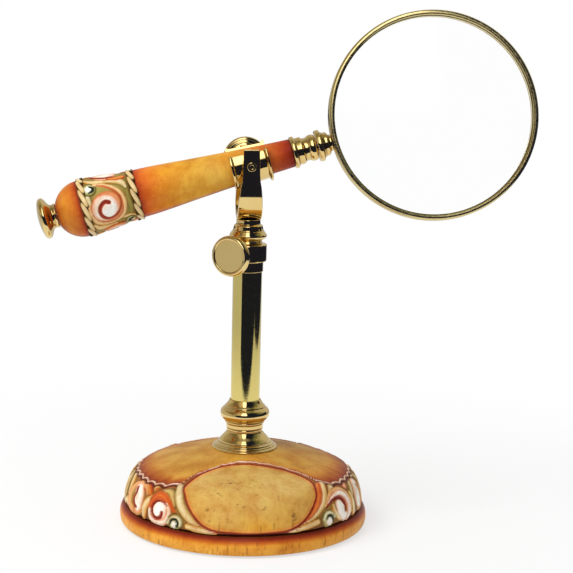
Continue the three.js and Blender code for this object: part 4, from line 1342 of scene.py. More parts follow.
    def marks(self, carving, shift):
        """Fine dark flecks and scratches in the stain"""
        widths = [0.2, 0.28, 0.16]
        for points in SCRATCHES:
            carving.stroke(turned_by(points, shift), widths, SCRATCH, 0.05, sunk=True, strength=0.42)
        chance = np.random.default_rng(11)
        for middle, height, spread, rise, count in FLECKS:
            for _ in range(count):
                angle = (middle + shift + chance.normal(0, spread)) % 360
                column = np.abs(carving.angles - angle).argmin()
                row = np.abs(carving.places - chance.normal(height, rise)).argmin()
                columns = (column + np.arange(chance.integers(1, 4))) % len(carving.angles)
                cover = chance.uniform(0.12, 0.5)
                carving.colour[columns, row] += cover * (FLECK - carving.colour[columns, row])


# Handle

# The taper's outline, as shares of its front radius and its length
TAPER = [
    (1.008, 0), (0.987, 0.088), (0.929, 0.215), (0.861, 0.343), (0.803, 0.47),
    (0.756, 0.572), (0.689, 0.725), (0.63, 0.878), (0.592, 1),
]
# The gutter that a rope moulding lies in, as shares of its width and depths in millimetres
GUTTER = [(-0.5, 0), (-0.42, 0.5), (-0.2, 0.7), (0.2, 0.7), (0.42, 0.5), (0.5, 0)]
# One half of the handle's scroll band, as strokes like the base's, but with points as an angle up from
# the front and a place along the handle from the pivot, in millimetres
HANDLE_SCROLLS = [
    ([(68, -80.6), (60, -77.5), (56, -72.5), (54, -67.5)], [1.2, 1.8, 1.6, 0.8], LEAF, 0.7),
    ([(55, -71), (52, -66.2), (44, -63.2), (30, -61.9)], [0.8, 1.9, 2.1, 0.9], LEAF, 0.8, GREEN_LEAF),
    ([(24, -61.6), (8, -62.0), (-12, -61.6), (-30, -61.9)], [0.7, 1.4, 1.3, 0.8], OLIVE_LEAF, 0.5),
    ([(26, -81), (14, -80.8), (2, -81)], [1.2, 1.4, 0.8], GREEN_LEAF, 0.5),
    ([(-36, -81.0), (-46, -79.2), (-50, -74.5), (-49, -70.6)], [0.9, 1.9, 1.7, 0.8], LEAF, 0.8),
    ([(-60, -76.5), (-57.5, -71.5), (-58, -67.4)], [1.1, 1.8, 1.0], FLAME, 0.8),
    ([(-37, -66.5), (-40, -62.4), (-48, -60.6)], [1.0, 1.5, 1.0], LEAF, 0.7),
    ([(-54, -63.4)], [3.0], BUD, 0.9),
    ([(-49, -62.2), (-51, -63.6), (-56, -64.4), (-60, -63.0)], [0.5, 0.8, 0.8, 0.5], INK, -0.5),
    ([(-72, -61.5)], [2.2], RED_BUD, 0.8),
    ([(-79, -79.6)], [2.6], LEAF, 0.8),
    ([(90, -71.6)], [6.4], BLOSSOM, 1),
    ([(61, -63.4), (68, -66.6), (69, -72.0), (78, -76.6), (92, -77.4), (104, -74.5), (102, -70.6),
      (93, -69.4)], [0.4, 0.8, 0.6, 0.7, 0.7, 0.75, 0.8, 0.9], HOOK, -0.55),
    ([(62, -62.4), (60, -65.6), (62.5, -69.5)], [1.4, 1.5, 0.9], FLAME, 0.7),
    ([(42, -79.6)], [3.7], BUD, 0.9),
    ([(48, -79.2), (43.5, -77.6), (37, -78.0), (33.5, -80.0)], [0.45, 0.8, 0.8, 0.4], INK, -0.5),
    ([(4, -81.2), (-14, -80.9), (-32, -78.8), (-39, -72.6), (-30, -66.8), (-8, -64.4), (16, -64.7),
      (35, -68.0), (46, -72.4), (51, -77.0)], [0.9, 1.2, 1.4, 1.4, 1.3, 1.2, 1.2, 1.2, 1.1, 0.8],
      WARM_HALO, 0.8),
    ([(-4, -72.8)], [8.0], WARM_DISC, 0.9),
    ([(-5, -74.0)], [6.8], BLOSSOM, 1),
    ([(5.5, -71.6), (8.4, -73.4), (2.5, -75.8), (-8, -76.9), (-20, -76.2), (-29, -73.3), (-25.5, -69.8),
      (-14, -66.9), (0, -65.7), (15, -66.0), (30, -68.4), (41, -71.5), (48, -75.2)],
      [1.05, 1.05, 1.0, 0.95, 0.85, 0.7, 0.65, 0.65, 0.65, 0.65, 0.6, 0.55, 0.35], HOOK, -0.6, FADED_HOOK),
]
# Places along the handle from the pivot, widths and radii, in millimetres
REAR_ROPE, FRONT_ROPE, ROPE_WIDTH = -83.35, -58.6, 3.4
SEAT_RADIUS, REAR_RADIUS, FRONT_RADIUS = 6, 14.0, 11.9
TAPER_START, TAPER_END = -56.4, 21.6
HANDLE_ROD_HOLE = 2.15
# Where the plain wood ends behind the scroll band and starts again before it, in millimetres from the
# pivot, and the side that the underside's darkening, stain and painted shade, lies on, in degrees down from
# the front
PLAIN_END, PLAIN_START, DARK_SIDE = -85.2, -56.8, 98


def taper_line(step):
    """The taper's outline as radii and places"""
    return smooth_line(scaled(TAPER, FRONT_RADIUS, TAPER_END - TAPER_START, TAPER_START), False, step)


def handle_skin():
    """Radii and places along the handle, from its rear seat to its front end"""
    centre = REAR_ROPE - ROPE_WIDTH / 2
    seat = math.asin(SEAT_RADIUS / REAR_RADIUS)
    sweep = np.linspace(seat, math.pi / 2, 26, endpoint=False)
    dome = np.stack([REAR_RADIUS * np.sin(sweep), centre - REAR_RADIUS * np.cos(sweep)], 1)
    rear = REAR_ROPE + ROPE_WIDTH / 2
    front = FRONT_ROPE - ROPE_WIDTH / 2
    band_places = np.linspace(rear + 0.1, front - 0.1, 62)
    band = np.stack([np.interp(band_places, [rear, front], [REAR_RADIUS, FRONT_RADIUS]), band_places], 1)
    gutters = []
    for place, radius in ((REAR_ROPE, REAR_RADIUS), (FRONT_ROPE, FRONT_RADIUS)):
        gutters.append([(radius - sink, place + share * ROPE_WIDTH) for share, sink in GUTTER])
    taper = taper_line(1.2)
    end = taper[-1] + [-0.25, 0.2]
    return np.vstack([dome, gutters[0], band, gutters[1], taper, [end]])


def handle_radius(place):
    """The taper's radius at a place along it"""
    taper = taper_line(0.4)
    return float(np.interp(place, taper[:, 1], taper[:, 0]))


class MAGNIFIER_OT_handle(bpy.types.Operator):
    """Makes the carved and stained handle, with its dome, scroll band, rope mouldings and taper"""

    bl_idname = "magnifier.handle"
    bl_label = "Carved Handle"

    def execute(self, context):
        settings = context.scene.handle_settings
        skin = handle_skin()
        carving = Carving(skin, settings.columns)
        self.stain(carving)
        for shift in (0, 180):
            carving.carve(HANDLE_SCROLLS, shift, settings.relief / MM)
        back = [(HANDLE_ROD_HOLE, skin[-1, 1]), (HANDLE_ROD_HOLE, skin[0, 1])]
        item = carved_object("carved_handle", carving, back, stained_wood("stained handle"), True)
        item.data.transform(cradle_frame(context.scene) @ turn_y(math.pi / 2))
        sharpen(item, 38)
        hand_over(item, "magnifier", "stained", "handle_body")
        self.rope(context, "rope_rear", REAR_ROPE, REAR_RADIUS, settings.rear_strands, 0.1)
        self.rope(context, "rope_front", FRONT_ROPE, FRONT_RADIUS, settings.front_strands, 0.35)
        return {"FINISHED"}

    def stain(self, carving):
        """Ground colours along the handle, darker under the dome and the taper, partly as painted shade"""
        angle, place = np.meshgrid(carving.angles, carving.places, indexing="ij")
        below = np.abs((angle + DARK_SIDE + 180) % 360 - 180)
        plain = (place < PLAIN_END) | (place > PLAIN_START)
        # Painted shade with the stain: the wood darkens towards the handle's underside, off the scroll band
        dark = tone(UNDERSIDE_STAIN_AND_SHADE, np.clip(below / 48, 0, 1))
        under = 1 - ease((below - 14) / 34)
        colour = painted_over(tone(HANDLE_STAIN, place), dark, 0.88 * under * plain)
        drift = 0.5 + 0.5 * np.sin(np.radians(angle * 2 + place * 7)) * np.cos(np.radians(place * 9 - angle))
        middle = np.exp(-((place + 22) / 15) ** 2) * drift * plain
        carving.colour[:] = painted_over(colour, HANDLE_BLOTCH, 0.5 * middle)

    def rope(self, context, name, place, radius, strands, turn):
        """A rope moulding around the handle"""
        mesh = bpy.data.meshes.new(name)
        item = bpy.data.objects.new(name, mesh)
        context.scene.collection.objects.link(item)
        pitch = math.tau * radius / strands
        values = {
            "Radius": (radius - 0.45) * MM,
            "Strands": strands,
            "Strand Length": pitch * 1.6 * MM,
            "Strand Width": 2.5 * MM,
            "Strand Rise": 1.9 * MM,
            "Lean": context.scene.handle_settings.strand_lean,
            "Start Turn": turn,
            "Finish": bpy.data.materials.get("rope stain") or rope_stain_and_shade(),
        }
        item = run_tree(item, node_tree("Rope Moulding", rope_tree), values)
        item.data.transform(handle_frame(context.scene) @ Matrix.Translation((0, 0, place * MM)))
        hand_over(item, "magnifier", "stained")


# Turned brass

# Radii and heights on the column, in millimetres
TUBE_RADIUS, TUBE_BORE = 7.35, 6.2
SOCKET_RADIUS = TUBE_RADIUS + 0.1
CROWN, BELL_TOP, TUBE_FOOT, KNOP_TOP = 38.6, 49.0, 57.6, 63.6
COLLAR_FOOT, TUBE_TOP, SKIRT_TOP, COLLAR_TOP = 129.4, 134.2, 134.6, 143.4
NECK_FOOT, ROD_TOP, FORK_SCREW_END, NECK_TOP = 143.5, 149.6, 153.0, 155.7
# Radii of the screws at the thumbscrew, the fork and the pivot, in millimetres
THUMBSCREW_THREAD, FORK_SCREW_HOLE, PIVOT_THREAD = 2.1, 1.6, 1.7
# Places along the handle from the pivot, in millimetres
FERRULE_START, SOCKET_START, SOCKET_END, ROD_END = 21.9, 34.6, 41.2, 38.6
# Radii of the lens and its ring, in millimetres
LENS_RADIUS, SURFACE_RADIUS = 50.4, 312
RING_LEDGE, RING_BORE, RING_RADIUS = 49.5, 50.7, 52.6


def brass(scene, name, tint=(1, 1, 1), dullness=1.0):
    """The brass of that name, made on first use"""
    return bpy.data.materials.get(name) or polished_brass(scene.brass_settings, name, tint, dullness)


def brass_finish(scene):
    """The warm brass of the fittings"""
    return brass(scene, "polished brass")


def tube_finish(scene):
    """The yellower brass of the drawn tube and the rod"""
    return brass(scene, "drawn brass", (0.96, 1.07, 0.9))


def ring_finish(scene):
    """The paler, duller brass of the lens ring"""
    return brass(scene, "rolled brass", (0.88, 0.98, 1.14), 3.2)


def brass_piece(scene, body, node, points, closed, reach, place=None, finish=brass_finish, sides=None):
    """Turns the brass piece that stands for a node, and gives it to its body"""
    sides = sides or scene.brass_settings.turned_sides
    piece = turned_piece(node + "_brass", points, closed, sides, finish(scene), reach, place)
    hand_over(piece, body, "brass", node)


class MAGNIFIER_OT_column(bpy.types.Operator):
    """Turns the bell, the knop, the tube and the collar of the column"""

    bl_idname = "magnifier.column"
    bl_label = "Brass Column"

    def execute(self, context):
        scene = context.scene
        bell_radius, bell_height = 16.5, 10.4
        bell = bored(scaled(BELL, bell_radius, bell_height, CROWN), TIE_ROD_HOLE)
        brass_piece(scene, "stand", "foot_bell", bell, True, 0.5)
        knop_wall, knop_height = 5.1, 14.6
        knop = [
            (TIE_ROD_HOLE, BELL_TOP), *scaled(KNOP, knop_wall, knop_height, BELL_TOP, SOCKET_RADIUS),
            (SOCKET_RADIUS, KNOP_TOP), (SOCKET_RADIUS, TUBE_FOOT), (TIE_ROD_HOLE, TUBE_FOOT),
        ]
        brass_piece(scene, "stand", "foot_knop", knop, True, 0.5)
        wall = [
            (TUBE_RADIUS, TUBE_FOOT), (TUBE_RADIUS, TUBE_TOP), (TUBE_BORE, TUBE_TOP), (TUBE_BORE, TUBE_FOOT),
        ]
        brass_piece(scene, "stand", "column_tube", wall, True, 0.15, finish=tube_finish)
        skirt, collar = SOCKET_RADIUS + 0.4, SOCKET_RADIUS + 2.0
        ring = [
            (SOCKET_RADIUS, COLLAR_FOOT), (skirt, COLLAR_FOOT), (skirt, SKIRT_TOP), (collar - 0.05, 134.7),
            (collar, 135.2), (collar, 142.9), (collar - 0.4, COLLAR_TOP), (TUBE_BORE, COLLAR_TOP),
            (TUBE_BORE, TUBE_TOP), (SOCKET_RADIUS, TUBE_TOP),
        ]
        brass_piece(scene, "stand", "clamp_collar", ring, True, 0.3)
        return {"FINISHED"}


class MAGNIFIER_OT_thumbscrew(bpy.types.Operator):
    """Turns the flat-faced thumbscrew in the collar"""

    bl_idname = "magnifier.thumbscrew"
    bl_label = "Thumbscrew"

    def execute(self, context):
        tip, hub, face, radius = 6.15, 10.25, 19.45, 10.2
        shank = [(THUMBSCREW_THREAD, tip), (THUMBSCREW_THREAD, hub)]
        points = capped([*shank, *scaled(THUMBSCREW, radius, face - hub, hub)])
        brass_piece(context.scene, "clamp_screw", "thumbscrew", points, False, 0.45, thumbscrew_frame())
        return {"FINISHED"}


class MAGNIFIER_OT_neck(bpy.types.Operator):
    """Turns the neck that carries the fork"""

    bl_idname = "magnifier.neck"
    bl_label = "Brass Neck"

    def execute(self, context):
        wall, height = 3.15, 12.2
        points = [
            (0.0, ROD_TOP), (TUBE_BORE, ROD_TOP), (TUBE_BORE, NECK_FOOT),
            *scaled(NECK, wall, height, NECK_FOOT, TUBE_BORE),
            (FORK_SCREW_HOLE, NECK_TOP), (FORK_SCREW_HOLE, FORK_SCREW_END), (0.0, FORK_SCREW_END),
        ]
        brass_piece(context.scene, "head", "mast_neck", points, False, 0.4)
        return {"FINISHED"}


class MAGNIFIER_OT_pivot(bpy.types.Operator):
    """Turns the pivot's front screw and its round rear knob"""

    bl_idname = "magnifier.pivot"
    bl_label = "Pivot Screw and Knob"

    def execute(self, context):
        scene = context.scene
        middle = Matrix.Translation((0, 0, pivot_place()))
        low = ear_outside() + 0.1
        shank = [(PIVOT_THREAD, clip_outer(0) - 0.6), (PIVOT_THREAD, low)]
        head = [
            (2.1, low), (2.25, low + 0.15), (2.25, low + 0.7), (2.05, low + 0.9), (1.15, low + 0.9),
            (1.0, low + 0.75), (0.95, low + 0.35),
        ]
        front, rear = middle @ turn_x(math.pi / 2), middle @ turn_x(-math.pi / 2)
        brass_piece(scene, "head", "pivot_screw", capped(shank + head), False, 0.12, front, sides=64)
        knob_radius, knob_height = 11.5, 14.4
        knob = scaled(PIVOT_KNOB, knob_radius, knob_height, low)
        brass_piece(scene, "tilt_knob", "pivot_knob", capped(shank + knob), False, 0.4, rear)
        return {"FINISHED"}


class MAGNIFIER_OT_fittings(bpy.types.Operator):
    """Turns the handle's end knob, its ferrule and the socket of the lens ring"""

    bl_idname = "magnifier.fittings"
    bl_label = "Handle Fittings"

    def execute(self, context):
        scene = context.scene
        along = handle_frame(scene)
        hole = HANDLE_ROD_HOLE
        seat = handle_skin()[0, 1] - 0.3
        room, knob_radius, knob_height = 4.8, 10.25, 9.7
        knob = [
            (0.0, room), (hole, room), (hole, 0.0), *scaled(END_KNOB, knob_radius, knob_height),
            (0.0, knob_height),
        ]
        place = along @ Matrix.Translation((0, 0, seat * MM)) @ turn_x(math.pi)
        brass_piece(scene, "magnifier", "end_knob", knob, False, 0.5, place)
        ferrule_radius, ferrule_length = 8.0, 12.4
        ferrule = bored(scaled(FERRULE, ferrule_radius, ferrule_length, FERRULE_START), hole)
        brass_piece(scene, "magnifier", "handle_ferrule", ferrule, True, 0.4, along)
        socket_radius, socket_length, neck = 7.95, 6.6, 4.2
        reach = LENS_PLACE - RING_RADIUS - 0.32
        socket = [
            (0.0, ROD_END), (hole, ROD_END), (hole, SOCKET_START),
            *scaled(SOCKET, socket_radius, socket_length, SOCKET_START),
            (neck, SOCKET_END), (neck, reach), (0.0, reach),
        ]
        brass_piece(scene, "magnifier", "ring_socket", socket, False, 0.3, along)
        return {"FINISHED"}


class MAGNIFIER_OT_lens(bpy.types.Operator):
    """Turns the lens ring, the ring that keeps the glass in, and the lens"""

    bl_idname = "magnifier.lens"
    bl_label = "Lens and Ring"

    def execute(self, context):
        scene = context.scene
        sides = scene.brass_settings.ring_sides
        place = lens_frame(scene)
        low, wall, height = -4.2, 1.9, 8.4
        shelf = low + 1.6
        ring = [
            (RING_LEDGE, low), *scaled(LENS_RING, wall, height, low, RING_BORE),
            (RING_BORE, -low), (RING_BORE, shelf), (RING_LEDGE, shelf),
        ]
        brass_piece(scene, "magnifier", "lens_ring", ring, True, 0.22, place, ring_finish, sides)
        back = shelf + 0.3
        front = back + 2.2
        start = front + self.sag(RING_LEDGE) + 0.12
        keeper = [
            (RING_BORE - 0.15, start), (RING_BORE - 0.15, start + 3), (RING_LEDGE + 0.5, start + 2.6),
            (RING_LEDGE, start + 1.8), (RING_LEDGE, start),
        ]
        brass_piece(scene, "magnifier", "lens_retaining_ring", keeper, True, 0.18, place, ring_finish, sides)
        steps = np.linspace(0, LENS_RADIUS, 22)
        rear = [(r, back - self.sag(r)) for r in steps]
        face = [(r, front + self.sag(r)) for r in steps[::-1]]
        piece = turned_piece("lens_glass_clear", rear + face, False, sides, clear_glass(), 0.2, place)
        hand_over(piece, "magnifier", "glass", "lens_glass")
        return {"FINISHED"}

    def sag(self, radius):
        """How far the lens's face stands above its edge at a radius"""
        edge = math.sqrt(SURFACE_RADIUS ** 2 - LENS_RADIUS ** 2)
        return math.sqrt(SURFACE_RADIUS ** 2 - radius ** 2) - edge


# Fork and clip

# The radius of the pivot's hole, half the width of the fork's flat foot and the height of its bend,
# in millimetres
PIVOT_HOLE = 1.85
FORK_FLAT, FORK_BEND = 1.2, 18.4
# The clip's flared rim, as shares of its rise and its length, both in millimetres
CLIP_RIM = [(0.7, 0), (0.95, 0.12), (1, 0.3), (1, 0.55), (0.85, 0.72), (0.45, 0.9), (0, 1)]
RIM_RISE, RIM_LENGTH = 1.1, 1.7
# Where the clip's trough starts and how far it goes round, in degrees up from the front, and its steps
CLIP_START, CLIP_SWEEP, CLIP_STEPS = 112, 288, 120


def clip_inner(place):
    """The clip's inner radius at a place along it, just clear of the handle's taper"""
    half = bpy.context.scene.fork_settings.clip_length / MM / 2
    rear, front = handle_radius(-half), handle_radius(half)
    return 0.3 + rear + (front - rear) * (place + half) / (2 * half)


def clip_outer(place):
    """The clip's outer radius at a place along it"""
    return clip_inner(place) + bpy.context.scene.fork_settings.clip_wall / MM


def ear_inside():
    """How far the inner face of the fork's ears is from the middle"""
    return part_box("pivot_washer_rear")[1].y / MM + 0.1


def ear_outside():
    """How far the outer face of the fork's ears is from the middle"""
    return ear_inside() + bpy.context.scene.fork_settings.thickness / MM


def strap_section(width, thickness, edge):
    """Points of a flat strap's section with rounded edges, each with a guard point beside it"""
    points = []
    for x, y, start in ((1, -1, 270), (1, 1, 0), (-1, 1, 90), (-1, -1, 180)):
        centre = (x * (width / 2 - edge), y * (thickness / 2 - edge))

        def corner(degrees, guard=0.0):
            angle = math.radians(degrees)
            across, through = math.cos(angle), math.sin(angle)
            return (centre[0] + edge * across - guard * abs(through) * x,
                    centre[1] + edge * through - guard * abs(across) * y)

        points.append(corner(start, 0.08))
        points += [corner(start + 18 * k) for k in range(6)]
        points.append(corner(start + 90, 0.08))
    return points


def cut_with(item, name, radius, length, place):
    """Drills a round hole through a piece"""
    steps = 48
    turns = [math.tau * k / steps for k in range(steps)]
    ring = [(radius * math.cos(turn), radius * math.sin(turn)) for turn in turns]
    points = [(x, y, z) for z in (-length / 2, length / 2) for x, y in ring]
    drill = mesh_object(name, np.array(points) * MM, swept_faces(2, steps), item.data.materials[0])
    drill.data.transform(place)
    modifier = item.modifiers.new("Drill", "BOOLEAN")
    modifier.operation = "DIFFERENCE"
    modifier.solver = "EXACT"
    modifier.object = drill
    result = plain_mesh(item)
    bpy.data.objects.remove(drill)
    return result


class MAGNIFIER_OT_fork(bpy.types.Operator):
    """Bends the fork's strap and drills it for the pivot and the screw"""

    bl_idname = "magnifier.fork"
    bl_label = "Fork"

    def execute(self, context):
        settings = context.scene.fork_settings
        thickness, edge = settings.thickness / MM, settings.edge_round / MM
        bottom, top = (corner.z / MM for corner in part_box("fork"))
        pivot = pivot_place() / MM
        points = []
        path = self.path(bottom, top, pivot, thickness)
        for k, (y, z, n, m) in enumerate(path):
            from_end = min(k, len(path) - 1 - k)
            shrink = (0.35, 0.12, 0.0)[from_end] if from_end < 3 else 0.0
            width = self.width(z, pivot, settings) - 2 * shrink
            section = strap_section(width, thickness - 2 * shrink, edge * 0.7 if shrink else edge)
            points += [(across, y + n * through, z + m * through) for across, through in section]
        faces = swept_faces(len(path), len(section))
        item = mesh_object("fork_strap", np.array(points) * MM, faces, brass_finish(context.scene))
        outward(item)
        across = Matrix.Translation((0, 0, pivot * MM)) @ turn_x(math.pi / 2)
        item = cut_with(item, "pivot_drill", PIVOT_HOLE, 40, across)
        item = cut_with(item, "screw_drill", FORK_SCREW_HOLE, 12, Matrix.Translation((0, 0, bottom * MM)))
        sharpen(item, 35)
        hand_over(item, "head", "brass", "fork")
        return {"FINISHED"}

    def path(self, bottom, top, pivot, thickness):
        """The strap's middle line from ear to ear, as a place across, a height and the way that its
        outer face looks"""
        outside = ear_outside()
        reach = outside - FORK_FLAT
        centre = bottom + FORK_BEND
        middle = outside - thickness / 2
        heights = [top, top - 0.1, top - 0.35, top - 0.5, pivot + 4, pivot, pivot - 4]
        heights += list(np.linspace(pivot - 5.2, centre + 0.1, 7))
        path = [(-middle, h, -1.0, 0.0) for h in heights]
        for k in range(25):
            angle = math.radians(180 + 90 * k / 24)
            across, down = reach * math.cos(angle), FORK_BEND * math.sin(angle)
            n, m = FORK_BEND * math.cos(angle), reach * math.sin(angle)
            size = math.hypot(n, m)
            n, m = n / size, m / size
            path.append((-FORK_FLAT + across - n * thickness / 2, centre + down - m * thickness / 2, n, m))
        path.append((0.0, bottom + thickness / 2, 0.0, -1.0))
        return path + [(-y, z, -n, m) for y, z, n, m in reversed(path[:-1])]

    def width(self, height, pivot, settings):
        """The strap's width at a height, which flares towards the foot"""
        ear, foot = settings.ear_width / MM, settings.foot_width / MM
        places = [pivot - 28, pivot - 20, pivot - 15, pivot - 10.5, pivot - 7, pivot - 4, pivot, pivot + 9]
        widths = [foot + 0.5, foot + 0.3, foot - 0.4, foot - 1.4]
        widths += [ear + 0.35, ear - 0.1, ear - 0.35, ear - 0.9]
        return float(np.interp(height, places, widths))


def outward(item):
    """Points a closed mesh's faces outwards"""
    mesh = bmesh.new()
    mesh.from_mesh(item.data)
    bmesh.ops.recalc_face_normals(mesh, faces=mesh.faces)
    mesh.to_mesh(item.data)
    mesh.free()
    item.data.update()


class MAGNIFIER_OT_clip(bpy.types.Operator):
    """Makes the sprung clip, a trough with a flared rim at each end and a boss at each side"""

    bl_idname = "magnifier.clip"
    bl_label = "Handle Clip"

    def execute(self, context):
        scene = context.scene
        half = scene.fork_settings.clip_length / MM / 2
        rim = clip_outer(0) + RIM_RISE
        outline = []
        for end in (-1, 1):
            wall = clip_outer(end * (half - RIM_LENGTH))
            flange = [(wall + rise * (rim - wall), end * half - end * share * RIM_LENGTH)
                      for rise, share in CLIP_RIM]
            outline += flange if end < 0 else flange[::-1]
        outline += [(clip_inner(half) + 0.1, half), (clip_inner(half), half - 0.3)]
        outline += [(clip_inner(-half), -half + 0.3), (clip_inner(-half) + 0.1, -half)]
        section = softened(outline, 0.35, True)
        points = []
        for k in range(CLIP_STEPS + 1):
            angle = math.radians(CLIP_START + CLIP_SWEEP * k / CLIP_STEPS)
            points += [(place, -r * math.cos(angle), r * math.sin(angle)) for r, place, _ in section]
        faces = swept_faces(CLIP_STEPS + 1, len(section))
        item = mesh_object("clip_trough", np.array(points) * MM, faces, brass_finish(scene))
        outward(item)
        wear = item.data.attributes.new("wear", "FLOAT", "POINT")
        wear.data.foreach_set("value", [bulge * 0.6 for _, _, bulge in section] * (CLIP_STEPS + 1))
        sharpen(item, 40)
        item = cut_with(item, "clip_drill", PIVOT_HOLE, 40, turn_x(math.pi / 2))
        item.data.transform(cradle_frame(scene))
        sharpen(item, 35)
        hand_over(item, "cradle", "brass", "cradle_clip")
        boss, foot, reach = 3.4, clip_outer(0) - 0.75, ear_inside() - 1.0
        ring = [(boss, foot), (boss, reach), (PIVOT_HOLE, reach), (PIVOT_HOLE, foot)]
        for side, name in ((1, "clip_boss_front"), (-1, "clip_boss_rear")):
            place = cradle_frame(scene) @ turn_x(side * math.pi / 2)
            hand_over(turned_piece(name, ring, True, 64, brass_finish(scene), 0.15, place), "cradle", "brass")
        return {"FINISHED"}


# Pieces whose shape is the frame's own


class MAGNIFIER_OT_hardware(bpy.types.Operator):
    """Finishes the felt, the rods, the nut and the washers"""

    bl_idname = "magnifier.hardware"
    bl_label = "Felt, Rods and Washers"

    def execute(self, context):
        steel = brushed_steel()
        brass = brass_finish(context.scene)
        finishes = {
            "base_felt": green_felt(),
            "base_washer": steel,
            "base_nut": steel,
            "tie_rod": steel,
            "fork_screw": steel,
            "handle_rod": steel,
            "tube_plug": brass,
            "mast_rod": tube_finish(context.scene),
            "pivot_washer_front": brass,
            "pivot_washer_rear": brass,
        }
        for name, material in finishes.items():
            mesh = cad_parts[name].data
            mesh.materials.clear()
            mesh.materials.append(material)
        return {"FINISHED"}


# Stage

# The sheet that the object stands on and the key light, in metres
SHEET = [(-0.29, -0.27, 0), (0.43, -0.27, 0), (0.43, 1.6, 0), (-1.4, 1.6, 0), (-1.4, -1.3, 0)]
LAMP_PLACE, LAMP_AIM, LAMP_SIZE = (-0.75, -0.45, 1.05), (0.02, 0, 0.1), (0.8, 0.6)
# The camera's side of the room, as an angle from +X
CAMERA_SIDE = math.radians(-94.9)

# What polished metal mirrors all round, at each level of the room: 0 is towards the camera and
# positive to its right, in degrees
PALE_WALL, NIGHT, SHADE = (0.60, 0.58, 0.53), (0.013, 0.016, 0.045), (0.42, 0.4, 0.36)
WINDOW, GREEN_WALL, PALE_CEILING = (2.4, 2.4, 2.35), (0.21, 0.24, 0.12), (0.36, 0.34, 0.28)
LOW_WALLS = [
    (-180, PALE_WALL), (-78, PALE_WALL), (-58, SHADE), (-46, SHADE), (-40, NIGHT), (118, NIGHT),
    (128, PALE_WALL), (180, PALE_WALL),
]
HIGH_WALLS = [
    (-180, PALE_WALL), (-120, (0.42, 0.38, 0.29)), (-78, (0.2, 0.16, 0.1)), (-58, (0.24, 0.19, 0.12)),
    (-36, (0.66, 0.58, 0.42)), (-19, (0.62, 0.54, 0.4)), (-15, WINDOW), (9, WINDOW), (13, NIGHT),
    (62, NIGHT), (92, GREEN_WALL), (124, PALE_WALL), (180, PALE_WALL),
]
CEILING = [
    (-180, PALE_CEILING), (-90, (0.26, 0.25, 0.17)), (0, (0.4, 0.38, 0.32)), (90, GREEN_WALL),
    (180, PALE_CEILING),
]


